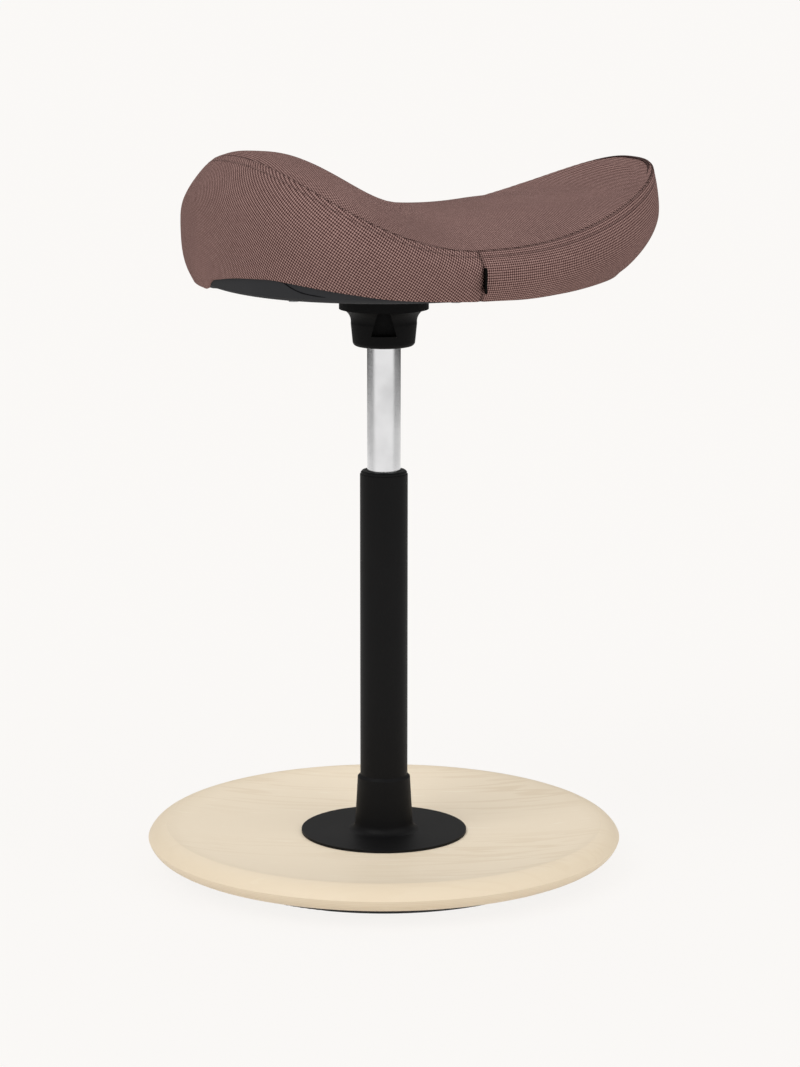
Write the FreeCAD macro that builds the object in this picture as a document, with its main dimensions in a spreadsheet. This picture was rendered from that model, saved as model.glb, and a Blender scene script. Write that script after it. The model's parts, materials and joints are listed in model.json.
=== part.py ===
import FreeCAD, Part
import Sketcher
import math
import os
import re
from FreeCAD import Placement, Rotation, Vector

# A perch stool: a dished round foot that rocks on a rubber ring, a column with a
# gas lift, and a padded saddle seat that turns, rises and falls on it.
# X runs along the seat towards its narrow front, Y across it, and Z up from the floor.

SIZES = {
    # foot
    "ring_radius": 147, "ring_width": 14, "ring_height": 16, "ring_let_in": 1.5, "ring_round": 4,
    "board_radius": 200, "board_rim": 21, "board_foot_inset": 9.5, "edge_height": 10.5,
    "edge_round": 16, "crown_round": 18, "crown_inset": 16, "dish_depth": 8.7, "dish_flat": 72,
    "board_bore": 17,
    "flange_radius": 70, "flange_plate": 2.2, "flange_bore": 7, "flare_radius": 30,
    "flare_round": 7, "collar_foot": 24.35, "collar_top": 22.2, "collar_height": 48,
    "collar_wall_clearance": 0.05, "stud_count": 4, "stud_circle": 52, "stud_radius": 4,
    "stud_clearance": 0.5, "stud_end": 1, "nut_height": 6.5, "nut_radius": 7.5,
    "washer_thickness": 1.6, "washer_radius": 9,
    # column
    "tube_radius": 20, "tube_wall": 2, "tube_height": 306.5, "tube_bevel": 0.6,
    "bush_lip": 2.5, "bush_lip_inset": 0.7, "bush_depth": 78, "bush_clearance": 0.05,
    "plug_height": 4, "race_thickness": 1.5, "race_radius": 12, "ball_radius": 1.85,
    "ball_count": 8, "ball_circle": 8, "ball_gap": 0.3, "cage_thickness": 1.5, "cage_inner": 5.5,
    "cage_outer": 11, "cage_clearance": 0.12, "damper_height": 7, "damper_radius": 12,
    # gas lift
    "rod_radius": 5, "rod_neck": 4, "rod_height": 272, "rod_tail": 18.5, "rod_clearance": 0.05,
    "neck_clearance": 0.3, "clip_thickness": 1.2, "clip_radius": 9, "clip_gap": 0.2,
    "piston_height": 14, "piston_nut_height": 4, "piston_nut_radius": 6.9, "seal_radius": 1.4,
    "seal_squeeze": 0.03, "cylinder_radius": 14, "cylinder_wall": 1.5, "cylinder_shown": 104.5,
    "cylinder_hidden": 206, "cylinder_lip": 2, "cylinder_mouth": 11, "taper_height": 30,
    "taper_drop": 0.75, "inner_tube_bore": 10.5, "inner_tube_wall": 1.2, "guide_height": 9,
    "rod_seal_height": 6, "valve_height": 25, "valve_pin_radius": 3, "valve_pin_rise": 4.4,
    "valve_pin_tail": 13, "valve_clearance": 0.05, "part_gap": 0.05,
    # seat bracket and release
    "boss_height": 43.2, "boss_foot": 22, "boss_radius": 26, "boss_round": 4, "boss_waist": 27.5,
    "boss_waist_height": 19, "boss_cove": 11, "boss_plate_radius": 37.2, "boss_plate_height": 31,
    "boss_cove_end": 35.4, "taper_clearance": 0.05, "cavity_radius": 17,
    "window_count": 3, "window_low": 10.5, "window_high": 31, "window_foot": 21, "window_top": 10,
    "window_floor": 18.5, "lever_turn_angle": 65.44, "lever_width": 7, "lever_height": 5,
    "lever_side_gap": 1, "lever_slot_spare": 2.2, "lever_pivot": 27, "lever_pin_radius": 2,
    "lever_pin_clearance": 0.05, "lever_nose": 4, "lever_knee": 40, "lever_reach": 112,
    "lever_slope": 10, "lever_rod": 3, "grip_length": 46, "grip_width": 22, "grip_height": 9,
    "grip_round": 3.5, "pin_play": 0.1, "plate_length": 76, "plate_width": 54,
    "plate_thickness": 3, "plate_corner": 8, "screw_spacing_long": 56, "screw_spacing_wide": 36,
    "screw_radius": 3, "screw_head": 5.6, "screw_length": 12, "tnut_radius": 3.9,
    "tnut_flange": 8.5, "tnut_flange_thickness": 1.2, "thread_clearance": 0.05,
    # seat
    "seat_front": 238.87, "seat_rear": 156.5, "seat_half": 159.75, "widest_at": 20.43,
    "front_power": 2.55, "rear_power": 2.45, "seat_taper": 0.0011, "seam_inset_front": 3.97,
    "seam_inset_side": 14.08, "seam_inset_rear": 26.14, "tuck_front": 35.8, "tuck_side": 11.5,
    "seam_side": 51.4, "seam_front": 108, "seam_rear": 122.3, "seam_front_power": 2.33,
    "seam_rear_power": 1.94, "ridge_rear": 123.3, "ridge_rear_at": 100, "ridge_dip": 74.3,
    "ridge_dip_at": 25, "ridge_front_power": 4.6, "edge_side": 11.5, "edge_rear": 30,
    "edge_front": 22.5, "edge_rear_power": 1.7, "edge_front_power": 3, "floor_rear": 11,
    "pan_flat": 46, "pan_slope": 0.112, "flat_share": 0.3, "knee_share": 0.75,
    "corner_share": 0.62, "least_crown": 0.6,
    "section_count": 12, "crowding_angle": 80, "end_flat": 1, "belly_high": 0.45, "belly_low": 0.4,
    "nose_slope_from": 130, "tail_slope_from": 125, "cover_thickness": 1.8, "under_thickness": 2.2,
    "under_inset": 3, "under_hole_gap": 0.3, "under_gap": 0.3, "shell_thickness": 12,
    "shell_end_inset": 2, "side_seam_at": 14, "seam_allowance": 0.4, "tag_width": 9,
    "tag_height": 24, "tag_thickness": 1, "tag_stand_off": 0.1, "cover_screw_radius": 1.6,
    "cover_screw_head": 4,
    "cover_screw_head_height": 1.4, "cover_screw_length": 9,
    "cover_screw_rear": 100, "cover_screw_rear_side": 45, "cover_screw_middle": 20,
    "cover_screw_middle_side": 95, "cover_screw_front": 130, "cover_screw_front_side": 60,
}

doc = FreeCAD.newDocument("perch_stool")
sizes = doc.addObject("Spreadsheet::Sheet", "sizes")
for row, (alias, amount) in enumerate(SIZES.items(), 1):
    sizes.set(f"A{row}", alias)
    sizes.set(f"B{row}", str(amount))
    sizes.setAlias(f"B{row}", alias)
doc.recompute()
NODES = []
LEAST_CUT = 1
ON_AXIS = 1e-9


def bound(text):
    """Points every size named in the text at its cell."""
    return re.sub(r"[a-z][a-z_0-9]*", lambda word: tie(word.group()), text)


def tie(word):
    return "sizes." + word if word in SIZES else word


def number(text):
    """What an expression over the named sizes comes to."""
    return float(FreeCAD.Units.Quantity(sizes.evalExpression(bound(text))).Value)


def drive(thing, **settings):
    """Binds properties of an object to expressions over the named sizes."""
    for name, text in settings.items():
        thing.setExpression(name.replace("__", "."), bound(text))
    return thing


def keep(thing, label, height=None, turn=None):
    """Names a sub-part and stands it at its height, turned about the column."""
    thing.Label = label
    if turn:
        thing.Placement = Placement(Vector(), Rotation(Vector(0, 0, 1), number(turn)))
        drive(thing, Placement__Rotation__Angle=turn)
    if height:
        drive(thing, Placement__Base__z=height)
    NODES.append(thing)
    return thing


# Heights above the floor that several pieces share.
BOARD_UNDER = "(ring_height - ring_let_in)"
BOARD_TOP = f"({BOARD_UNDER} + board_rim - dish_depth)"
FLANGE_TOP = f"({BOARD_TOP} + flange_plate)"
TUBE_TOP = f"({FLANGE_TOP} + tube_height)"
BUSH_TOP = f"({TUBE_TOP} + bush_lip)"
RACE_LOW = f"({FLANGE_TOP} + plug_height)"
BALLS = f"({RACE_LOW} + race_thickness)"
RACE_HIGH = f"({BALLS} + 2 * ball_radius + ball_gap)"
ROD_SHOULDER = f"({RACE_HIGH} + race_thickness)"
PISTON_FOOT = f"({ROD_SHOULDER} + rod_height)"
CYLINDER_FOOT = f"({BUSH_TOP} - cylinder_hidden)"
BOSS_FOOT = f"({BUSH_TOP} + cylinder_shown)"
CYLINDER_TOP = f"({BOSS_FOOT} + taper_height)"
SEAT_FLOOR = f"({BOSS_FOOT} + boss_height - under_thickness)"
CYLINDER_BORE = "(cylinder_radius - cylinder_wall)"
TUBE_BORE = "(tube_radius - tube_wall)"


def sketch_on(body, role, name):
    sketch = body.newObject("Sketcher::SketchObject", name)
    plane = next(item for item in body.Origin.OriginFeatures if item.Role == role)
    sketch.AttachmentSupport = [(plane, "")]
    sketch.MapMode = "FlatFace"
    return sketch


def arc_between(start, end, radius):
    """A minor arc, turning left for a positive radius and right for a negative one."""
    chord = end - start
    side = Vector(-chord.y, chord.x, 0).normalize()
    rise = math.sqrt(radius ** 2 - (chord.Length / 2) ** 2)
    centre = (start + end) * 0.5 + side * math.copysign(rise, radius)
    first, last = (start, end) if radius > 0 else (end, start)
    angles = [math.atan2(point.y - centre.y, point.x - centre.x) for point in (first, last)]
    circle = Part.Circle(centre, Vector(0, 0, 1), abs(radius))
    return Part.ArcOfCircle(circle, *angles)


def trace(sketch, corners):
    """Draws a closed outline through corners (across, up) or (across, up, radius of the arc to it)."""
    spots = [Vector(number(corner[0]), number(corner[1]), 0) for corner in corners]
    ends = []
    for here, corner in enumerate(corners):
        if len(corner) == 3:
            radius = number(corner[2])
            sketch.addGeometry(arc_between(spots[here - 1], spots[here], radius))
            ends.append((1, 2) if radius > 0 else (2, 1))
            index = sketch.addConstraint(Sketcher.Constraint("Radius", here, abs(radius)))
            text = corner[2] if radius > 0 else f"-({corner[2]})"
            sketch.setExpression(f"Constraints[{index}]", bound(text))
        else:
            sketch.addGeometry(Part.LineSegment(spots[here - 1], spots[here]))
            ends.append((1, 2))
    for here, corner in enumerate(corners):
        following = (here + 1) % len(corners)
        end, begin = ends[here][1], ends[following][0]
        sketch.addConstraint(Sketcher.Constraint("Coincident", here, end, following, begin))
        for axis, text, kind in ((-2, corner[0], "DistanceX"), (-1, corner[1], "DistanceY")):
            if abs(number(text)) < ON_AXIS:
                sketch.addConstraint(Sketcher.Constraint("PointOnObject", here, end, axis))
                continue
            index = sketch.addConstraint(Sketcher.Constraint(kind, -1, 1, here, end, number(text)))
            sketch.setExpression(f"Constraints[{index}]", bound(text))


def turned(label, corners, height, turn=None):
    """A body turned about the column's axis from an outline of radius and height."""
    body = doc.addObject("PartDesign::Body", label)
    sketch = sketch_on(body, "XZ_Plane", label + "_outline")
    trace(sketch, corners)
    revolution = body.newObject("PartDesign::Revolution", label + "_turned")
    revolution.Profile = sketch
    revolution.ReferenceAxis = (sketch, ["V_Axis"])
    revolution.Angle = 360
    doc.recompute()
    return keep(body, label, height, turn)


def sleeve(label, inner, outer, length, height):
    """A plain turned ring, tube or disc."""
    return turned(label, [(inner, "0"), (outer, "0"), (outer, length), (inner, length)], height)


def pocket(body, sketch, name, length, reverse):
    """Cuts a sketched outline out of a body and checks that it did cut."""
    before = body.Shape.Volume
    cut = body.newObject("PartDesign::Pocket", name)
    cut.Profile = sketch
    drive(cut, Length=length)
    cut.Reversed = reverse
    doc.recompute()
    if body.Shape.Volume > before - LEAST_CUT:
        raise ValueError(name + " cuts nothing")
    return cut


def around(body, feature, name, count):
    """Repeats a cut round the body's own axis."""
    pattern = body.newObject("PartDesign::PolarPattern", name)
    pattern.Originals = [feature]
    axis = next(item for item in body.Origin.OriginFeatures if item.Role == "Z_Axis")
    pattern.Axis = (axis, [""])
    pattern.Angle = 360
    drive(pattern, Occurrences=count)
    body.Tip = pattern
    doc.recompute()


def cylinder(name, radius, length, x="0", y="0", z="0"):
    rod = doc.addObject("Part::Cylinder", name)
    return drive(rod, Radius=radius, Height=length, Placement__Base__x=x,
                 Placement__Base__y=y, Placement__Base__z=z)


def group(label, pieces, height=None):
    """Like pieces that share one node."""
    whole = doc.addObject("Part::Compound", label)
    whole.Links = pieces
    doc.recompute()
    return keep(whole, label, height)


def circle_spots(count, circle, start):
    """Where pieces spaced round a circle stand, as expressions."""
    step = 360 / number(count)
    turns = [start + step * index for index in range(int(number(count)))]
    return [(f"{circle} * cos({turn} deg)", f"{circle} * sin({turn} deg)") for turn in turns]


def hexagon(name, size, length, x, y, z):
    prism = doc.addObject("Part::Prism", name)
    prism.Polygon = 6
    return drive(prism, Circumradius=size, Height=length, Placement__Base__x=x,
                 Placement__Base__y=y, Placement__Base__z=z)


# The foot.
RING_IN = "(ring_radius - ring_width / 2)"
RING_OUT = "(ring_radius + ring_width / 2)"
turned("rubber_ring", [
    (RING_IN + " + ring_round", "0", "ring_round"),
    (RING_OUT + " - ring_round", "0"),
    (RING_OUT, "ring_round", "ring_round"),
    (RING_OUT, "ring_height"),
    (RING_IN, "ring_height"),
    (RING_IN, "ring_round"),
], "0")

CROWN = "(board_radius - crown_inset)"
DISH_ROUND = f"(({CROWN} - dish_flat) ^ 2 + dish_depth ^ 2) / (2 * dish_depth)"
board = turned("base_board", [
    ("board_bore", "0"),
    (RING_IN, "0"),
    (RING_IN, "ring_let_in"),
    (RING_OUT, "ring_let_in"),
    (RING_OUT, "0"),
    ("board_radius - board_foot_inset", "0"),
    ("board_radius", "edge_height", "edge_round"),
    (CROWN, "board_rim", "crown_round"),
    ("dish_flat", "board_rim - dish_depth", f"-({DISH_ROUND})"),
    ("board_bore", "board_rim - dish_depth"),
], BOARD_UNDER)
hole = sketch_on(board, "XY_Plane", "stud_hole_outline")
hole.addGeometry(Part.Circle(Vector(number("stud_circle"), 0, 0), Vector(0, 0, 1),
                             number("stud_radius + stud_clearance")))
hole.addConstraint(Sketcher.Constraint("PointOnObject", 0, 3, -1))
hole.addConstraint(Sketcher.Constraint("DistanceX", -1, 1, 0, 3, number("stud_circle")))
hole.addConstraint(Sketcher.Constraint("Radius", 0, number("stud_radius + stud_clearance")))
hole.setExpression("Constraints[1]", bound("stud_circle"))
hole.setExpression("Constraints[2]", bound("stud_radius + stud_clearance"))
around(board, pocket(board, hole, "stud_hole", "board_rim", True), "stud_holes", "stud_count")

turned("base_flange", [
    ("flange_bore", "0"),
    ("flange_radius", "0"),
    ("flange_radius", "flange_plate"),
    ("flare_radius", "flange_plate"),
    ("collar_foot", "flange_plate + flare_round", "-(flare_round)"),
    ("collar_top", "flange_plate + collar_height - collar_top + tube_radius"),
    ("tube_radius + collar_wall_clearance", "flange_plate + collar_height"),
    ("tube_radius + collar_wall_clearance", "flange_plate"),
    ("flange_bore", "flange_plate"),
], BOARD_TOP)

NUT_TOP = f"({BOARD_UNDER} - washer_thickness)"
STUD_FOOT = f"({NUT_TOP} - nut_height - stud_end)"
studs, nuts, washers = [], [], []
for index, (x, y) in enumerate(circle_spots("stud_count", "stud_circle", 0)):
    stud = cylinder(f"stud_{index}", "stud_radius", f"{BOARD_TOP} - {STUD_FOOT}", x, y, STUD_FOOT)
    studs.append(stud)
    nut = doc.addObject("Part::Cut", f"nut_{index}")
    nut.Base = hexagon(f"nut_hexagon_{index}", "nut_radius", "nut_height", x, y, NUT_TOP + " - nut_height")
    nut.Tool = cylinder(f"nut_bore_{index}", "stud_radius + thread_clearance", "nut_height", x, y,
                        NUT_TOP + " - nut_height")
    nuts.append(nut)
    washer = doc.addObject("Part::Cut", f"washer_{index}")
    washer.Base = cylinder(f"washer_disc_{index}", "washer_radius", "washer_thickness", x, y, NUT_TOP)
    washer.Tool = cylinder(f"washer_bore_{index}", "stud_radius + thread_clearance",
                           "washer_thickness", x, y, NUT_TOP)
    washers.append(washer)
group("flange_studs", studs)
group("base_nuts", nuts)
group("base_washers", washers)

# The column.
turned("column_tube", [
    (TUBE_BORE, "0"),
    ("tube_radius", "0"),
    ("tube_radius", "tube_height - tube_bevel"),
    ("tube_radius - tube_bevel", "tube_height"),
    (TUBE_BORE, "tube_height"),
], FLANGE_TOP)
turned("guide_bush", [
    ("cylinder_radius + bush_clearance", "0"),
    (TUBE_BORE, "0"),
    (TUBE_BORE, "bush_depth"),
    ("tube_radius - bush_lip_inset", "bush_depth"),
    ("tube_radius - bush_lip_inset", "bush_depth + bush_lip / 2"),
    ("tube_radius - bush_lip_inset - bush_lip / 2", "bush_depth + bush_lip"),
    ("cylinder_radius + bush_clearance", "bush_depth + bush_lip"),
], f"{TUBE_TOP} - bush_depth")
sleeve("tube_plug", "rod_neck + neck_clearance", TUBE_BORE, "plug_height", FLANGE_TOP)
sleeve("lower_race", "rod_neck + neck_clearance", "race_radius", "race_thickness", RACE_LOW)
balls, pockets = [], []
for index, (x, y) in enumerate(circle_spots("ball_count", "ball_circle", 0)):
    ball = doc.addObject("Part::Sphere", f"ball_{index}")
    drive(ball, Radius="ball_radius", Placement__Base__x=x, Placement__Base__y=y,
          Placement__Base__z="ball_radius")
    balls.append(ball)
    pockets.append(cylinder(f"ball_pocket_{index}", "ball_radius + cage_clearance",
                            "2 * ball_radius", x, y))
group("bearing_balls", balls, BALLS)
cage_ring = doc.addObject("Part::Cut", "cage_ring")
cage_ring.Base = cylinder("cage_disc", "cage_outer", "cage_thickness",
                          z="ball_radius - cage_thickness / 2")
cage_ring.Tool = cylinder("cage_bore", "cage_inner", "2 * ball_radius")
ball_pockets = doc.addObject("Part::Compound", "ball_pockets")
ball_pockets.Links = pockets
cage = doc.addObject("Part::Cut", "cage")
cage.Base = cage_ring
cage.Tool = ball_pockets
doc.recompute()
keep(cage, "ball_cage", BALLS)

# The rod and what turns with it.
sleeve("upper_race", "rod_neck + part_gap", "race_radius", "race_thickness", RACE_HIGH)
sleeve("bump_stop", "rod_radius + part_gap", "damper_radius", "damper_height", ROD_SHOULDER)
turned("piston_rod", [
    ("0", "0"),
    ("rod_neck", "0"),
    ("rod_neck", "rod_tail"),
    ("rod_radius", "rod_tail"),
    ("rod_radius", "rod_tail + rod_height"),
    ("rod_neck", "rod_tail + rod_height"),
    ("rod_neck", "rod_tail + rod_height + piston_height + piston_nut_height"),
    ("0", "rod_tail + rod_height + piston_height + piston_nut_height"),
], f"{ROD_SHOULDER} - rod_tail")
sleeve("rod_clip", "rod_neck + part_gap", "clip_radius", "clip_thickness",
       f"{BOARD_TOP} - clip_gap - clip_thickness")
PISTON_OUT = "(inner_tube_bore - rod_clearance)"
SEAL_IN = f"({PISTON_OUT} - 2 * seal_radius)"
turned("piston", [
    ("rod_neck + part_gap", "0"),
    (PISTON_OUT, "0"),
    (PISTON_OUT, "piston_height / 2 - seal_radius"),
    (SEAL_IN, "piston_height / 2 - seal_radius"),
    (SEAL_IN, "piston_height / 2 + seal_radius"),
    (PISTON_OUT, "piston_height / 2 + seal_radius"),
    (PISTON_OUT, "piston_height"),
    ("rod_neck + part_gap", "piston_height"),
], PISTON_FOOT)
seal = doc.addObject("Part::Torus", "piston_seal_ring")
drive(seal, Radius1=f"{PISTON_OUT} - seal_radius + seal_squeeze",
      Radius2="seal_radius - seal_squeeze / 2")
doc.recompute()
keep(seal, "piston_seal", f"{PISTON_FOOT} + piston_height / 2")
piston_nut = doc.addObject("Part::Cut", "piston_nut_cut")
piston_nut.Base = hexagon("piston_nut_hexagon", "piston_nut_radius", "piston_nut_height",
                          "0", "0", "0")
piston_nut.Tool = cylinder("piston_nut_bore", "rod_neck + thread_clearance", "piston_nut_height")
doc.recompute()
keep(piston_nut, "piston_nut", f"{PISTON_FOOT} + piston_height")

# The cylinder and what rises with it.
CYLINDER_STRAIGHT = "(cylinder_hidden + cylinder_shown)"
turned("gas_cylinder", [
    ("cylinder_mouth", "0"),
    ("cylinder_radius", "0"),
    ("cylinder_radius", CYLINDER_STRAIGHT),
    ("cylinder_radius - taper_drop", f"{CYLINDER_STRAIGHT} + taper_height"),
    (CYLINDER_BORE, f"{CYLINDER_STRAIGHT} + taper_height"),
    (CYLINDER_BORE, "cylinder_lip"),
    ("cylinder_mouth", "cylinder_lip"),
], CYLINDER_FOOT)
GUIDE_FOOT = f"({CYLINDER_FOOT} + cylinder_lip)"
sleeve("rod_guide", "rod_radius + rod_clearance", f"{CYLINDER_BORE} - part_gap", "guide_height",
       GUIDE_FOOT)
sleeve("rod_seal", "rod_radius + rod_clearance", f"{CYLINDER_BORE} - part_gap", "rod_seal_height",
       f"{GUIDE_FOOT} + guide_height")
INNER_FOOT = f"({GUIDE_FOOT} + guide_height + rod_seal_height)"
sleeve("pressure_tube", "inner_tube_bore", "inner_tube_bore + inner_tube_wall",
       f"{CYLINDER_TOP} - valve_height - {INNER_FOOT}", INNER_FOOT)
sleeve("valve_housing", "valve_pin_radius + valve_clearance", f"{CYLINDER_BORE} - part_gap",
       "valve_height", f"{CYLINDER_TOP} - valve_height")
sleeve("valve_pin", "0", "valve_pin_radius", "valve_pin_tail + valve_height + valve_pin_rise",
       f"{CYLINDER_TOP} - valve_height - valve_pin_tail")

# The cast boss under the seat, with three windows and a slot for the release lever.
LEVER_UNDER = "(taper_height + valve_pin_rise + pin_play)"
boss = turned("seat_boss", [
    ("cylinder_radius + taper_clearance", "0"),
    ("boss_foot", "0"),
    ("boss_radius", "boss_round", "boss_round"),
    ("boss_waist", "boss_waist_height"),
    ("boss_cove_end", "boss_plate_height", "-(boss_cove)"),
    ("boss_plate_radius", "boss_plate_height"),
    ("boss_plate_radius", "boss_height"),
    ("cavity_radius", "boss_height"),
    ("cavity_radius", "taper_height"),
    ("cylinder_radius - taper_drop + taper_clearance", "taper_height"),
], BOSS_FOOT, "lever_turn_angle")
window = sketch_on(boss, "YZ_Plane", "window_outline")
drive(window, AttachmentOffset__Base__z="-(window_floor)")
trace(window, [
    ("-(window_foot) / 2", "window_low"),
    ("window_foot / 2", "window_low"),
    ("window_top / 2", "window_high"),
    ("-(window_top) / 2", "window_high"),
])
around(boss, pocket(boss, window, "window", "boss_plate_radius", False), "windows", "window_count")
slot = sketch_on(boss, "YZ_Plane", "lever_slot_outline")
SLOT_HALF = "(lever_width / 2 + lever_side_gap)"
SLOT_LOW = f"({LEVER_UNDER} - lever_slot_spare)"
trace(slot, [
    (f"-{SLOT_HALF}", SLOT_LOW),
    (SLOT_HALF, SLOT_LOW),
    (SLOT_HALF, "boss_height"),
    (f"-{SLOT_HALF}", "boss_height"),
])
pocket(boss, slot, "lever_slot", "boss_plate_radius + lever_side_gap", True)
PIN_LEVEL = f"({LEVER_UNDER} + lever_height / 2)"
bore = sketch_on(boss, "XZ_Plane", "lever_pin_hole_outline")
bore.addGeometry(Part.Circle(Vector(number("lever_pivot"), number(PIN_LEVEL), 0), Vector(0, 0, 1),
                             number("lever_pin_radius")))
bore.addConstraint(Sketcher.Constraint("DistanceX", -1, 1, 0, 3, number("lever_pivot")))
bore.addConstraint(Sketcher.Constraint("DistanceY", -1, 1, 0, 3, number(PIN_LEVEL)))
bore.addConstraint(Sketcher.Constraint("Radius", 0, number("lever_pin_radius")))
bore.setExpression("Constraints[0]", bound("lever_pivot"))
bore.setExpression("Constraints[1]", bound(PIN_LEVEL))
bore.setExpression("Constraints[2]", bound("lever_pin_radius"))
pin_hole = pocket(boss, bore, "lever_pin_hole", "2 * (lever_side_gap + lever_width)", False)
pin_hole.Midplane = True
doc.recompute()

PIN_LENGTH = "(2 * (lever_side_gap + lever_width))"


def lying(name, radius, length, turn_axis, angle, x, y, z):
    """A round bar that lies across or slopes away from the lever's pivot."""
    bar = doc.addObject("Part::Cylinder", name)
    bar.Placement = Placement(Vector(), Rotation(turn_axis, angle))
    return drive(bar, Radius=radius, Height=length, Placement__Base__x=x, Placement__Base__y=y,
                 Placement__Base__z=z)


pin = lying("pin_bar", "lever_pin_radius", PIN_LENGTH, Vector(1, 0, 0), -90,
            "lever_pivot", f"-{PIN_LENGTH} / 2", PIN_LEVEL)
pin_only = doc.addObject("Part::Compound", "pin_only")
pin_only.Links = [pin]
doc.recompute()
keep(pin_only, "lever_pin", BOSS_FOOT, "lever_turn_angle")

bar = doc.addObject("Part::Box", "lever_bar")
drive(bar, Length="lever_knee + lever_nose", Width="lever_width", Height="lever_height",
      Placement__Base__x="-(lever_nose)", Placement__Base__y="-(lever_width) / 2",
      Placement__Base__z=LEVER_UNDER)
arm = lying("lever_arm", "lever_rod", "lever_reach", Vector(0, 1, 0), 90 + number("lever_slope"),
            "lever_knee - lever_rod", "0", PIN_LEVEL)
drive(arm, Placement__Rotation__Angle="90 + lever_slope")
arm_joined = doc.addObject("Part::Fuse", "arm_joined")
arm_joined.Base = bar
arm_joined.Tool = arm
arm_bored = doc.addObject("Part::Cut", "arm_bored")
arm_bored.Base = arm_joined
arm_bored.Tool = lying("lever_bore", "lever_pin_radius + lever_pin_clearance", PIN_LENGTH,
                       Vector(1, 0, 0), -90, "lever_pivot", f"-{PIN_LENGTH} / 2", PIN_LEVEL)
doc.recompute()
keep(arm_bored, "release_lever", BOSS_FOOT, "lever_turn_angle")

GRIP_AT = "(lever_knee - lever_rod + (lever_reach - grip_length / 2) * cos(lever_slope * 1 deg))"
GRIP_LEVEL = f"({PIN_LEVEL} - (lever_reach - grip_length / 2) * sin(lever_slope * 1 deg))"
grip_block = doc.addObject("Part::Box", "grip_block")
grip_block.Placement = Placement(Vector(), Rotation(Vector(0, 1, 0), number("lever_slope")))
drive(grip_block, Length="grip_length", Width="grip_width", Height="grip_height",
      Placement__Rotation__Angle="lever_slope",
      Placement__Base__x=f"{GRIP_AT} - grip_height / 2 * sin(lever_slope * 1 deg)",
      Placement__Base__y="-(grip_width) / 2",
      Placement__Base__z=f"{GRIP_LEVEL} - grip_height / 2 * cos(lever_slope * 1 deg)")
doc.recompute()
grip_soft = doc.addObject("Part::Fillet", "grip_soft")
grip_soft.Base = grip_block
grip_soft.Edges = [(edge, number("grip_round"), number("grip_round")) for edge in range(1, 13)]
grip = doc.addObject("Part::Cut", "grip")
grip.Base = grip_soft
grip.Tool = arm
doc.recompute()
keep(grip, "lever_grip", BOSS_FOOT, "lever_turn_angle")


# The seat, in its own frame: x along it, y across it and z up from its lowest plane.
# It is lofted through sections across it, each of one flat, two flanks, two sides and a top.
HALVINGS = 30


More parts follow.
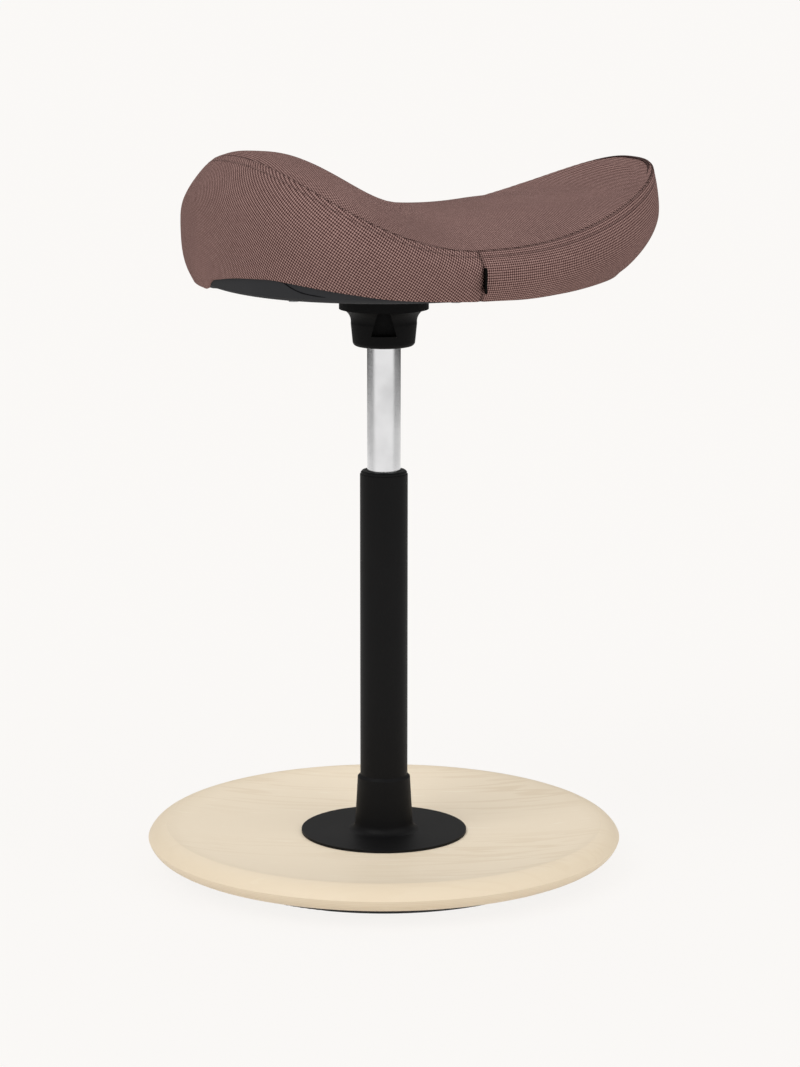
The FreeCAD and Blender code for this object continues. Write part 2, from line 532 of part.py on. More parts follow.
class Seat:
    """The seat's form, read from the named sizes."""

    def __init__(self):
        for name in SIZES:
            setattr(self, name, number(name))
        self.ends = {
            True: (self.seat_front, self.seat_front - self.seam_inset_front,
                   self.seat_front - self.tuck_front),
            False: (self.seat_rear, self.seat_rear - self.seam_inset_rear,
                    self.seat_rear - self.tuck_side),
        }

    def share(self, u, reach):
        """How far u is from the widest place towards an end that lies at reach, at most 1."""
        span = reach + math.copysign(self.widest_at, self.widest_at - u)
        return min(abs(u - self.widest_at) / span, 1)

    def half(self, u, reach, width):
        """Half the width, at u, of a rounded outline."""
        power = self.front_power if u > self.widest_at else self.rear_power
        taper = 1 - self.seat_taper * (u - self.widest_at)
        return width * (1 - self.share(u, reach) ** power) ** (1 / power) * taper

    def ridge(self, u):
        """Height of the seat's centre line."""
        if u < self.ridge_dip_at:
            part = min((self.ridge_dip_at - u) / (self.ridge_dip_at + self.ridge_rear_at), 1)
            return self.ridge_dip + (self.ridge_rear - self.ridge_dip) * part ** 2 * (3 - 2 * part)
        part = (u - self.ridge_dip_at) / (self.seat_front - self.ridge_dip_at)
        return self.ridge_dip + (self.seam_front - self.ridge_dip) * part ** self.ridge_front_power

    def seam(self, u, share=None):
        """Height of the seam between the top panel and the side band."""
        front = u > self.widest_at
        high = self.seam_front if front else self.seam_rear
        power = self.seam_front_power if front else self.seam_rear_power
        part = self.share(u, self.ends[front][1]) if share is None else share
        return self.seam_side + (high - self.seam_side) * part ** power

    def edge(self, u, share=None):
        """Height of the cover's lower edge."""
        front = u > self.widest_at
        high = self.edge_front if front else self.edge_rear
        power = self.edge_front_power if front else self.edge_rear_power
        part = self.share(u, self.ends[front][2]) if share is None else share
        return self.edge_side + (high - self.edge_side) * part ** power

    def floor(self, u, v=0):
        """Height of the underside, which rises from its flat middle out to where the cover tucks under."""
        front = u > self.widest_at
        start = self.nose_slope_from if front else self.tail_slope_from
        low_end = self.ends[front][2]
        part = min(max((abs(u) - start) / (low_end - start), 0), 1)
        end = self.edge_front if front else self.floor_rear
        spare = end - self.pan_slope * (low_end - self.pan_flat)
        return self.pan_slope * max(math.hypot(u, v) - self.pan_flat, 0) + spare * part ** 2

    def band(self, u, down):
        """Half width and height of the side band at u, a share down from the seam to the edge."""
        end, seam_end, low_end = self.ends[u > self.widest_at]
        swell = math.sin(min(down / self.belly_high, 1) * math.pi / 2)
        tuck = max((down - self.belly_low) / (1 - self.belly_low), 0) ** 2
        reach = seam_end + (end - seam_end) * swell - (end - low_end) * tuck
        width = self.seat_half - self.seam_inset_side * (1 - swell) - self.tuck_side * tuck
        share = self.share(u, reach)
        high = self.seam(u, share)
        return self.half(u, reach, width), high + (self.edge(u, share) - high) * down

    def where(self, u, width, start, stop):
        """The point of the band at u with a given half width, between two shares down."""
        for _ in range(HALVINGS):
            middle = (start + stop) / 2
            if self.band(u, middle)[0] < width:
                start = middle
            else:
                stop = middle
        return self.band(u, stop)

    def section(self, u, skin, rise):
        """One section: its half widths and heights, drawn in by skin and with its floor raised."""
        end, seam_end, low_end = self.ends[u > self.widest_at]
        side, middle = self.band(u, self.belly_high)
        least = self.corner_share * side
        seam = self.band(u, 0)
        low = self.band(u, 1)
        top, floor = self.ridge(u), self.floor(u)
        if seam[0] < least:
            seam = self.where(u, least, 0, self.belly_high)
        if low[0] < least:
            low = self.where(u, least, 1, self.belly_high)
        if abs(u) > seam_end:
            down = self.belly_high * 2 / math.pi * math.asin((abs(u) - seam_end) / (end - seam_end))
            top = self.band(u, down)[1]
        if abs(u) > low_end:
            down = self.belly_low + (1 - self.belly_low) * math.sqrt((end - abs(u)) / (end - low_end))
            drop = self.floor(u) - self.edge(u)
            floor = self.band(u, down)[1] + drop * max(down - self.belly_high, 0)
        top = max(top, seam[1] + self.least_crown)
        return (low[0] - skin, side - skin, seam[0] - skin, floor + rise, low[1] + rise, middle,
                seam[1] - skin, top - skin)

    def stations(self):
        """Where the sections stand, closer together towards the ends."""
        count = int(self.section_count)
        places = []
        for step in range(-count, count + 1):
            reach = self.seat_front if step > 0 else -self.seat_rear
            span = abs(reach - self.widest_at) - self.end_flat
            part = math.sin(abs(step) / count * math.radians(self.crowding_angle))
            places.append(self.widest_at + math.copysign(part, step) * span
                          / math.sin(math.radians(self.crowding_angle)))
        return places

    def flanks(self, u, low, floor, edge):
        """Where one side of the underside turns: the end of its flat, its knee and its edge."""
        flat = min(self.pan_flat, self.flat_share * low)
        knee = flat + self.knee_share * (low - flat)
        lift = min(self.floor(u, knee) - self.floor(u), self.knee_share * (edge - floor))
        return (flat, floor), (knee, floor + max(lift, 0)), (low, edge)

    def wire(self, u, skin, rise):
        """A section as a closed wire, set in along the seat by its share of the skin."""
        low, side, seam_side, floor, edge, middle, seam, top = self.section(u, skin, rise)
        at = self.widest_at + (u - self.widest_at) * (1 - skin / self.seat_rear)
        flat, knee, rim = self.flanks(u, low, floor, edge)
        points = {name: Vector(at, y, z) for name, (y, z) in (
            ("flat", flat), ("knee", knee), ("edge", rim), ("side", (side, middle)),
            ("seam", (seam_side, seam)), ("top", (0, top)))}
        other = {name: Vector(at, -point.y, point.z) for name, point in points.items()}
        edges = [Part.LineSegment(other["flat"], points["flat"]),
                 Part.LineSegment(points["flat"], points["knee"]),
                 Part.LineSegment(points["knee"], points["edge"]),
                 Part.Arc(points["edge"], points["side"], points["seam"]),
                 Part.Arc(points["seam"], points["top"], other["seam"]),
                 Part.Arc(other["seam"], other["side"], other["edge"]),
                 Part.LineSegment(other["edge"], other["knee"]),
                 Part.LineSegment(other["knee"], other["flat"])]
        return Part.Wire([item.toShape() for item in edges])

    def form(self, skin, rise):
        """The whole seat as one solid, drawn in by skin and with its floor raised."""
        return Part.makeLoft([self.wire(u, skin, rise) for u in self.stations()], True, True)

    def pan(self, inset, thickness):
        """The lining: a thin sheet that follows the underside."""
        def outline(u):
            low, _, _, floor, edge, _, _, _ = self.section(u, inset, 0)
            low_side = self.flanks(u, low, floor, edge)
            half = list(low_side) + [(y, z + thickness) for y, z in low_side[::-1]]
            return half + [(-y, z) for y, z in half[::-1]]

        return self.blocks(self.underside_places(inset), outline)

    def blocks(self, places, outline):
        """A ruled solid through a polygon at each place along the seat."""
        wires = []
        for u in places:
            corners = [Vector(u, y, z) for y, z in outline(u)]
            wires.append(Part.makePolygon(corners + corners[:1]))
        return Part.makeLoft(wires, True, True)

    def underside_places(self, inset):
        """Where sections cross the underside, from one end of it to the other."""
        first = inset - self.ends[False][2]
        last = self.ends[True][2] - inset
        return [first] + [u for u in self.stations() if first + inset < u < last - inset] + [last]

    def layer(self, rise, inset):
        """What lies below the seat's underside raised by rise, as a block to cut with."""
        wide = 2 * self.seat_half

        def outline(u):
            low, _, _, floor, edge, _, _, _ = self.section(u, 0, rise)
            flat, knee, rim = self.flanks(u, low, floor, edge)
            half = [(wide, -wide), (wide, rim[1]), rim, knee, flat]
            return half + [(-y, z) for y, z in half[::-1]]

        return self.blocks(self.underside_places(inset), outline)

    def mouth(self, inset):
        """The opening in the cover's underside, as a block to cut with."""
        high = self.edge_rear + 2 * self.under_thickness

        def outline(u):
            half = self.section(u, inset, 0)[0]
            return ((-half, -high), (half, -high), (half, high), (-half, high))

        return self.blocks(self.underside_places(inset), outline)

    def above_seam(self):
        """The space above the seam, as a block."""
        wide, high = 2 * self.seat_half, 2 * self.seam_rear

        def outline(u):
            low = self.seam(u) - self.seam_allowance
            return ((-wide, low), (wide, low), (wide, high), (-wide, high))

        return self.blocks([-wide] + self.stations() + [wide], outline)


def feature(label, shape, height=SEAT_FLOOR):
    """A sub-part whose shape is worked out from the named sizes."""
    thing = doc.addObject("Part::Feature", label)
    thing.Shape = shape
    return keep(thing, label, height)


def stud_shape(radius, length, x, y, z):
    return Part.makeCylinder(radius, length, Vector(x, y, z))


seat = Seat()
under = seat.under_thickness
spots = [(x * seat.screw_spacing_long / 2, y * seat.screw_spacing_wide / 2)
         for x in (-1, 1) for y in (-1, 1)]
cover_spots = [(-seat.cover_screw_rear, seat.cover_screw_rear_side),
               (seat.cover_screw_middle, seat.cover_screw_middle_side),
               (seat.cover_screw_front, seat.cover_screw_front_side)]
cover_spots += [(x, -y) for x, y in cover_spots]

padded = seat.form(seat.cover_thickness, under)
shell_block = seat.layer(under + seat.shell_thickness, seat.shell_end_inset)
foam = padded.cut(shell_block)
shell = padded.common(shell_block).cut(seat.pan(seat.under_inset - seat.under_gap, under))
plate_low = under
plate_box = Part.makeBox(seat.plate_length, seat.plate_width, seat.plate_thickness,
                         Vector(-seat.plate_length / 2, -seat.plate_width / 2, plate_low))
corner_edges = [edge for edge in plate_box.Edges if abs(edge.tangentAt(edge.FirstParameter).z) > 0.9]
plate = plate_box.makeFillet(seat.plate_corner, corner_edges)
shell = shell.cut(plate)
tnuts, screws, cover_screws = [], [], []
plate_high = plate_low + seat.plate_thickness
shell_high = under + seat.shell_thickness
for x, y in spots:
    barrel = stud_shape(seat.tnut_radius, shell_high - plate_high - seat.tnut_flange_thickness,
                        x, y, plate_high)
    collar = stud_shape(seat.tnut_flange, seat.tnut_flange_thickness, x, y,
                        shell_high - seat.tnut_flange_thickness)
    whole = barrel.fuse(collar)
    shell = shell.cut(whole)
    tnuts.append(whole.cut(stud_shape(seat.screw_radius + seat.thread_clearance, shell_high, x, y, 0)))
    head = Part.makeCone(seat.screw_head, seat.screw_radius, seat.plate_thickness,
                         Vector(x, y, plate_low))
    shank = stud_shape(seat.screw_radius, seat.screw_length, x, y, plate_low)
    screw = head.fuse(shank)
    plate = plate.cut(screw)
    screws.append(screw)

under_cover = seat.pan(seat.under_inset, under - seat.under_gap)
under_cover = under_cover.cut(stud_shape(seat.boss_plate_radius + seat.under_hole_gap,
                                         2 * under, 0, 0, -under))
for x, y in cover_spots:
    level = seat.floor(x, y)
    head = stud_shape(seat.cover_screw_head, seat.cover_screw_head_height, x, y,
                      level - seat.cover_screw_head_height)
    screw = head.fuse(stud_shape(seat.cover_screw_radius, seat.cover_screw_length, x, y, level))
    shell = shell.cut(screw)
    under_cover = under_cover.cut(screw)
    cover_screws.append(screw)

skin = seat.form(0, 0).cut(padded).cut(seat.mouth(seat.cover_thickness))
top_space = seat.above_seam()
band = skin.cut(top_space)
far = 2 * seat.seat_front
front_space = Part.makeBox(far, 2 * far, 2 * far, Vector(seat.side_seam_at, -far, -far))
tag_side = seat.section(seat.side_seam_at, 0, 0)[1] + seat.tag_stand_off
tag_low = (seat.seam(seat.side_seam_at) + seat.edge(seat.side_seam_at) - seat.tag_height) / 2
tag = Part.makeBox(seat.tag_width, seat.tag_thickness, seat.tag_height,
                   Vector(seat.side_seam_at, -tag_side - seat.tag_thickness, tag_low))

feature("seat_plate", plate)
feature("seat_shell", shell)
feature("shell_tnuts", Part.makeCompound(tnuts))
feature("plate_screws", Part.makeCompound(screws))
feature("seat_foam", foam)
feature("cover_top_panel", skin.common(top_space))
feature("cover_front_panel", band.common(front_space))
feature("cover_rear_panel", band.cut(front_space))
feature("seam_tag", tag)
feature("under_cover", under_cover)
feature("under_cover_screws", Part.makeCompound(cover_screws))

doc.recompute()
for thing in doc.Objects:
    if "Invalid" in thing.State or "Error" in thing.State:
        raise ValueError(thing.Name + " failed")
os.makedirs("parts", exist_ok=True)
for thing in NODES:
    if thing.Shape.isNull() or not thing.Shape.isValid():
        raise ValueError(thing.Label + " has no sound shape")
    thing.Shape.exportStep(os.path.join("parts", thing.Label + ".step"))
print(len(NODES), "sub-parts")
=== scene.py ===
import json
import math

import bpy
import numpy as np
from mathutils.bvhtree import BVHTree
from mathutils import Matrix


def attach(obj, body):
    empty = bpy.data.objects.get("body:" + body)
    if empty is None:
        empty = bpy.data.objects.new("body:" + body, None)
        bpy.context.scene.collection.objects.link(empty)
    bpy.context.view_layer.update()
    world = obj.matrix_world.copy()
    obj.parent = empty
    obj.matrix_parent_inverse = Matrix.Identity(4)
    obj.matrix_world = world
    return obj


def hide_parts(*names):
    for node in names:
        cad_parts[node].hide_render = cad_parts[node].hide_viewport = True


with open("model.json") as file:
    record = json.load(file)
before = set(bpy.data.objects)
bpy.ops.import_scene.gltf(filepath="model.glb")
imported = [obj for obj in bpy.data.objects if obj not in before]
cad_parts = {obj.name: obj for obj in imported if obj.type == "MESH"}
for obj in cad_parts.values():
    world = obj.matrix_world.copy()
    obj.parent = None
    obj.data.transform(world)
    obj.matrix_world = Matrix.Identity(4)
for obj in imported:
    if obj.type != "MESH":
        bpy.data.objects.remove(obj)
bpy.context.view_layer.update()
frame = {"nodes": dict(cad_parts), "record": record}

# A perch stool: a saddle seat in a coarse basket weave on a gas lift and a black column,
# over a dished round foot of pale wood. Lengths are in metres and heights from the floor.
MM = 0.001
scene = bpy.context.scene
scene.view_settings.view_transform = "Standard"


def linked(name, data):
    """A new object in the scene."""
    thing = bpy.data.objects.new(name, data)
    scene.collection.objects.link(thing)
    return thing


# Camera: the photograph's place, height and dip. Its lens and sensor are in millimetres, and its
# shift, which the photograph's framing needs, is a share of the sensor.
CAMERA_TURN = math.radians(-24.56)
CAMERA_AWAY = 2.7221
CAMERA_HEIGHT = 0.8076
CAMERA_DIP = 0.190
LENS = 111.73
SENSOR = 36
SHIFT = 0.0151


def make_camera():
    data = bpy.data.cameras.new("photo_camera")
    data.sensor_fit = "VERTICAL"
    data.sensor_height = SENSOR
    data.sensor_width = SENSOR
    data.lens = LENS
    data.shift_x = SHIFT
    camera = linked("photo_camera", data)
    across, along = math.sin(CAMERA_TURN), math.cos(CAMERA_TURN)
    camera.location = (CAMERA_AWAY * across, -CAMERA_AWAY * along, CAMERA_HEIGHT)
    camera.rotation_euler = (math.pi / 2 - CAMERA_DIP, 0, CAMERA_TURN)
    scene.camera = camera


# Colours, as linear light.
FABRIC_YARN = (0.190, 0.107, 0.097, 1)
# The cloth's crest colour is a painted highlight on the threads' crests, and its hole colour is
# painted shade between the threads.
FABRIC_CREST_HIGHLIGHT = (0.410, 0.262, 0.236, 1)
FABRIC_HOLE_SHADE = (0.024, 0.008, 0.009, 1)
THREAD = (0.230, 0.138, 0.124, 1)
TAPE_YARN = (0.003, 0.003, 0.003, 1)
# The tape's crest and hole colours are likewise a painted highlight and painted shade.
TAPE_CREST_HIGHLIGHT = (0.008, 0.008, 0.007, 1)
TAPE_HOLE_SHADE = (0.002, 0.002, 0.002, 1)
LINING = (0.030, 0.031, 0.034, 1)
LINING_RUBBED = (0.045, 0.046, 0.05, 1)
# The crease cord's colour, far darker than the lining, is painted shadow along the lapped crease.
CREASE_SHADOW_COLOUR = (0.006, 0.006, 0.007, 1)
# The foam's darker colour is painted shade in its pores.
FOAM_PIT_SHADE = (0.55, 0.5, 0.38, 1)
FOAM_PALE = (0.85, 0.82, 0.7, 1)
WOOD_PALE = (0.895, 0.780, 0.610, 1)
WOOD_LIGHT = (0.950, 0.860, 0.700, 1)
WOOD_STREAK = (0.700, 0.545, 0.360, 1)
WOOD_EDGE = (0.780, 0.660, 0.490, 1)
WOOD_GLUE = (0.640, 0.470, 0.270, 1)
BLACK_COAT = (0.0060, 0.0060, 0.0064, 1)
COAT_RUBBED = (0.009, 0.009, 0.009, 1)
BLACK_CAST = (0.0050, 0.0050, 0.0052, 1)
CAST_RUBBED = (0.008, 0.008, 0.008, 1)
BLACK_MOULDED = (0.0070, 0.0070, 0.0074, 1)
MOULDED_RUBBED = (0.011, 0.011, 0.011, 1)
RUBBER = (0.012, 0.012, 0.013, 1)
RUBBER_RUBBED = (0.03, 0.03, 0.03, 1)
ZINC = (0.42, 0.43, 0.45, 1)
GROUND_STEEL = (0.55, 0.56, 0.58, 1)
BRIGHT_PLATE = (0.84, 0.85, 0.87, 1)
TURNED_ALLOY = (0.62, 0.63, 0.65, 1)
BACKDROP = (0.956, 0.939, 0.921, 1)


class Net:
    """Adds nodes to a tree, and joins them, in few words."""

    def __init__(self, tree):
        self.tree = tree

    def node(self, kind, inputs=(), **settings):
        node = self.tree.nodes.new(kind)
        for name, value in settings.items():
            setattr(node, name, value)
        for key, value in dict(inputs).items():
            self.put(node.inputs[key], value)
        return node

    def out(self, kind, inputs=(), **settings):
        """A new node's first output."""
        return self.node(kind, inputs, **settings).outputs[0]

    def put(self, socket, value):
        if isinstance(value, bpy.types.NodeSocket):
            self.tree.links.new(value, socket)
        else:
            socket.default_value = value

    def math(self, operation, *values):
        return self.out("ShaderNodeMath", enumerate(values), operation=operation)

    def hypot(self, first, second):
        squares = [self.math("MULTIPLY", side, side) for side in (first, second)]
        return self.math("SQRT", self.math("ADD", *squares))

    def ramp(self, value, low, high, bottom=0.0, top=1.0):
        """Smooth steps from bottom to top while the value goes from low to high."""
        keys = {"Value": value, "From Min": low, "From Max": high, "To Min": bottom,
                "To Max": top}
        return self.out("ShaderNodeMapRange", keys, interpolation_type="SMOOTHSTEP")

    def mix(self, share, first, second, blend="MIX"):
        node = self.node("ShaderNodeMix", data_type="RGBA", blend_type=blend)
        for index, value in ((0, share), (6, first), (7, second)):
            self.put(node.inputs[index], value)
        return node.outputs[2]

    def noise(self, vector, scale, detail=2.0, roughness=0.5, distortion=0.0):
        keys = {"Vector": vector, "Scale": scale, "Detail": detail, "Roughness": roughness,
                "Distortion": distortion}
        return self.node("ShaderNodeTexNoise", keys).outputs["Fac"]

    def mapping(self, vector, scale=(1, 1, 1), turn=(0, 0, 0)):
        keys = {"Vector": vector, "Scale": scale, "Rotation": turn}
        return self.out("ShaderNodeMapping", keys)

    def split(self, vector):
        return self.node("ShaderNodeSeparateXYZ", {0: vector}).outputs

    def bump(self, height, distance):
        keys = {"Height": height, "Distance": distance, "Strength": 1.0}
        return self.out("ShaderNodeBump", keys)


SOCKETS = {"vector": "NodeSocketVector", "value": "NodeSocketFloat",
           "colour": "NodeSocketColor"}


def new_group(name, inputs, outputs):
    """A shader node group with named sockets: (net, those that come in, those that go out)."""
    tree = bpy.data.node_groups.new(name, "ShaderNodeTree")
    for label, kind, amount in inputs:
        socket = tree.interface.new_socket(label, in_out="INPUT", socket_type=SOCKETS[kind])
        if amount is not None:
            socket.default_value = amount
    for label, kind in outputs:
        tree.interface.new_socket(label, in_out="OUTPUT", socket_type=SOCKETS[kind])
    net = Net(tree)
    return net, net.node("NodeGroupInput").outputs, net.node("NodeGroupOutput").inputs


# The weave, in shares of a thread's height: how high the thread beneath shows, where the crest's
# painted highlight takes over from the yarn, and where the holes' painted shade ends. Then its
# flecks, in cells a metre.
THREAD_UNDER = 0.45
CREST_SPAN = (0.45, 0.95)
HOLE_SPAN = (0.18, 0.64)
FLECK_CELLS = 900.0


def weave_group():
    """A plain basket weave on a vector in metres: threads over and under with a painted highlight
    on their crests, and holes darkened by painted shade.
    """
    net, come, go = new_group("basket_weave", [
        ("Vector", "vector", None), ("Pitch", "value", 0.002), ("Yarn", "colour", FABRIC_YARN),
        ("Crest", "colour", FABRIC_CREST_HIGHLIGHT), ("Hole", "colour", FABRIC_HOLE_SHADE),
        ("Melange", "value", 0.5)], [("Colour", "colour"), ("Height", "value")])
    across, along, _ = net.split(come["Vector"])
    warps = net.math("DIVIDE", across, come["Pitch"])
    wefts = net.math("DIVIDE", along, come["Pitch"])
    offs = [net.math("SUBTRACT", net.math("FRACT", value), 0.5) for value in (warps, wefts)]
    warp, weft = [net.math("COSINE", net.math("MULTIPLY", value, math.pi)) for value in offs]
    column, row = net.math("FLOOR", warps), net.math("FLOOR", wefts)
    odd = net.math("FLOORED_MODULO", net.math("ADD", column, row), 2.0)
    even = net.math("SUBTRACT", 1.0, odd)
    over_warp = net.math("MULTIPLY", warp, net.math("MULTIPLY_ADD", weft, 0.5, 0.5))
    over_weft = net.math("MULTIPLY", weft, net.math("MULTIPLY_ADD", warp, 0.5, 0.5))
    over = net.math("ADD", net.math("MULTIPLY", over_warp, even),
                    net.math("MULTIPLY", over_weft, odd))
    under = net.math("MULTIPLY", net.math("MAXIMUM", warp, weft), THREAD_UNDER)
    height = net.math("MAXIMUM", over, under)
    lane = net.out("ShaderNodeCombineXYZ", {"X": column, "Y": row, "Z": odd})
    streak = net.node("ShaderNodeTexWhiteNoise", {"Vector": lane},
                      noise_dimensions="3D").outputs["Value"]
    fleck = net.noise(come["Vector"], FLECK_CELLS, detail=3.0, roughness=0.6)
    flecks = net.math("MULTIPLY_ADD", net.math("ADD", streak, fleck), 0.5, -0.5)
    # The crests take the lighter crest colour as a painted highlight; the flecks are the yarn's
    # own melange.
    lift = net.math("MULTIPLY_ADD", flecks, come["Melange"], net.ramp(over, *CREST_SPAN))
    lift = net.math("MAXIMUM", net.math("MINIMUM", lift, 1.0), 0.0)
    thread = net.mix(lift, come["Yarn"], come["Crest"])
    # Where the threads dip into the holes they take the dark hole colour: painted shade.
    net.put(go["Colour"], net.mix(net.ramp(height, *HOLE_SPAN), come["Hole"], thread))
    net.put(go["Height"], height)
    return net.tree


# The wood's patterns, in cells a metre along and across the grain, and where each one shows.
FIGURE_CELLS, PORE_CELLS = (2.2, 26, 26), (14, 900, 900)
RAY_CELLS, PATCH_CELLS = (26, 240, 240), (3.0, 9.0, 9.0)
RING_TURNS = 46.0
RING_SPAN, PATCH_SPAN, RAY_SPAN = (0.1, 1.0), (0.35, 0.75), (0.62, 0.78)
RAY_SHARE, PORE_SHARE, STREAK_SINK = 0.7, 0.35, -0.4


def grain_group():
    """Wood grain along the vector's X: broad figure, fine pores and short light rays."""
    net, come, go = new_group("wood_grain", [
        ("Vector", "vector", None), ("Pale", "colour", WOOD_PALE),
        ("Light", "colour", WOOD_LIGHT), ("Streak", "colour", WOOD_STREAK),
        ("Figure", "value", 0.5)], [("Colour", "colour"), ("Height", "value")])

    def pattern(cells, detail, **settings):
        return net.noise(net.mapping(come["Vector"], cells), 1.0, detail, **settings)

    figure = pattern(FIGURE_CELLS, 3.0, roughness=0.55, distortion=0.25)
    pores = pattern(PORE_CELLS, 3.0, roughness=0.6)
    rays = pattern(RAY_CELLS, 2.0)
    patch = pattern(PATCH_CELLS, 1.0)
    rings = net.math("SINE", net.math("MULTIPLY", figure, RING_TURNS))
    streaks = net.math("MULTIPLY", net.ramp(rings, *RING_SPAN), net.ramp(patch, *PATCH_SPAN))
    dark = net.math("MULTIPLY_ADD", pores, PORE_SHARE, streaks)
    wood = net.mix(net.math("MULTIPLY", dark, come["Figure"]), come["Pale"], come["Streak"])
    light = net.ramp(rays, *RAY_SPAN, top=RAY_SHARE)
    net.put(go["Colour"], net.mix(light, wood, come["Light"]))
    net.put(go["Height"], net.math("MULTIPLY_ADD", streaks, STREAK_SINK, pores))
    return net.tree


# Where a coat is rubbed: cells a metre, where they show and how much of the rubbed colour.
CLOUD_CELLS, CLOUD_SPAN, CLOUD_SHARE = 14.0, (0.45, 0.85), 0.5


def coat_group():
    """The fine skin of a sprayed, cast or moulded surface, with faint dust and rub marks."""
    net, come, go = new_group("fine_skin", [
        ("Vector", "vector", None), ("Colour", "colour", BLACK_COAT),
        ("Rubbed", "colour", RUBBER), ("Grit", "value", 900.0), ("Shine", "value", 0.45),
        ("Spread", "value", 0.1)],
        [("Colour", "colour"), ("Roughness", "value"), ("Height", "value")])
    grit = net.noise(come["Vector"], come["Grit"], detail=2.0, roughness=0.6)
    cloud = net.noise(come["Vector"], CLOUD_CELLS, detail=4.0, roughness=0.6)
    rubbed = net.ramp(cloud, *CLOUD_SPAN, top=CLOUD_SHARE)
    net.put(go["Colour"], net.mix(rubbed, come["Colour"], come["Rubbed"]))
    away = net.math("SUBTRACT", cloud, 0.5)
    net.put(go["Roughness"], net.math("MULTIPLY_ADD", away, come["Spread"], come["Shine"]))
    net.put(go["Height"], grit)
    return net.tree


WEAVE, GRAIN, SKIN = weave_group(), grain_group(), coat_group()


def new_material(name, **sockets):
    """A material whose shader's own sockets are set by name: (material, net, shader)."""
    made = bpy.data.materials.new(name)
    made.use_nodes = True
    net = Net(made.node_tree)
    shader = made.node_tree.nodes["Principled BSDF"]
    for key, value in sockets.items():
        shader.inputs[key.replace("_", " ")].default_value = value
    return made, net, shader


def use(net, tree, **inputs):
    node = net.node("ShaderNodeGroup", node_tree=tree)
    for key, value in inputs.items():
        net.put(node.inputs[key], value)
    return node.outputs


def place_of(net, kind="Object"):
    return net.node("ShaderNodeTexCoord").outputs[kind]


def surface(net, shader, colour, height, depth):
    """Gives a shader its colour, and a relief whose full height is a depth in metres."""
    net.put(shader.inputs["Base Color"], colour)
    net.put(shader.inputs["Normal"], net.bump(height, depth))


# The threads' pitch and relief in metres, and the cloth's lighter and darker patches.
WEAVE_PITCH = 0.00205
WEAVE_DEPTH = 0.0006
TONE_CELLS, TONE_SPAN, TONES = 9.0, (0.3, 0.7), (0.94, 1.05)


def woven(name, turn):
    """The seat's cloth, its threads turned on the panel by an angle."""
    made, net, shader = new_material(name, Roughness=1.0, Specular_IOR_Level=0.04)
    laid = net.mapping(place_of(net, "UV"), turn=(0, 0, turn))
    cloth = use(net, WEAVE, Vector=laid, Pitch=WEAVE_PITCH)
    patches = net.noise(place_of(net), TONE_CELLS, detail=3.0)
    # The 'shade' attribute darkens the cloth along its seams and topstitch: painted shade in their
    # grooves. The patches are the cloth's own random tone.
    painted_seam_shade = net.node("ShaderNodeAttribute", attribute_name="shade").outputs["Fac"]
    cloth_tone_and_seam_shade = net.math("MULTIPLY", net.ramp(patches, *TONE_SPAN, *TONES), painted_seam_shade)
    grey = net.out("ShaderNodeCombineColor", {"Red": cloth_tone_and_seam_shade, "Green": cloth_tone_and_seam_shade, "Blue": cloth_tone_and_seam_shade})
    colour = net.mix(1.0, cloth["Colour"], grey, "MULTIPLY")
    surface(net, shader, colour, cloth["Height"], WEAVE_DEPTH)
    return made


def skinned(name, colour, rubbed, depth, grit, shine, spread, **sockets):
    """A coat, case or casting: its colours, its grit's depth and cells, and its roughness."""
    made, net, shader = new_material(name, **sockets)
    skin = use(net, SKIN, Vector=place_of(net), Colour=colour, Rubbed=rubbed, Grit=grit,
               Shine=shine, Spread=spread)
    net.put(shader.inputs["Roughness"], skin["Roughness"])
    surface(net, shader, skin["Colour"], skin["Height"], depth)
    return made


# Faint smears on bright metal: cells a metre, how much darker and how much rougher.
SMEAR_CELLS, SMEAR_TONE, SMEAR_ROUGH = 30.0, 0.86, 0.08


def metal(name, colour, roughness, lines, depth):
    """Bright metal with fine drawing or turning marks round the column's axis."""
    made, net, shader = new_material(name, Metallic=1.0)
    marks = net.noise(net.mapping(place_of(net), lines), 1.0, detail=3.0, roughness=0.6)
    smear = net.noise(place_of(net), SMEAR_CELLS, detail=3.0)
    dull = tuple(SMEAR_TONE * part for part in colour[:3]) + (1,)
    rough = net.ramp(smear, 0.2, 0.8, roughness, roughness + SMEAR_ROUGH)
    net.put(shader.inputs["Roughness"], rough)
    surface(net, shader, net.mix(net.ramp(smear, 0.3, 0.8), colour, dull), marks, depth)
    return made


# The foot's wood, in metres: where its rounded rim begins and ends, its plies' pitch, and the
# heights between which their glue lines come out.
GRAIN_TURN = CAMERA_TURN
BOARD_RIM = (0.168, 0.197)
PLY_PITCH = 0.0016
GLUE_SPAN, GLUE_HEIGHTS, GLUE_SHARE = (0.55, 0.98), (0.027, 0.017), 0.55
RIM_SHARE = 0.75
VENEER_DEPTH = 0.00003


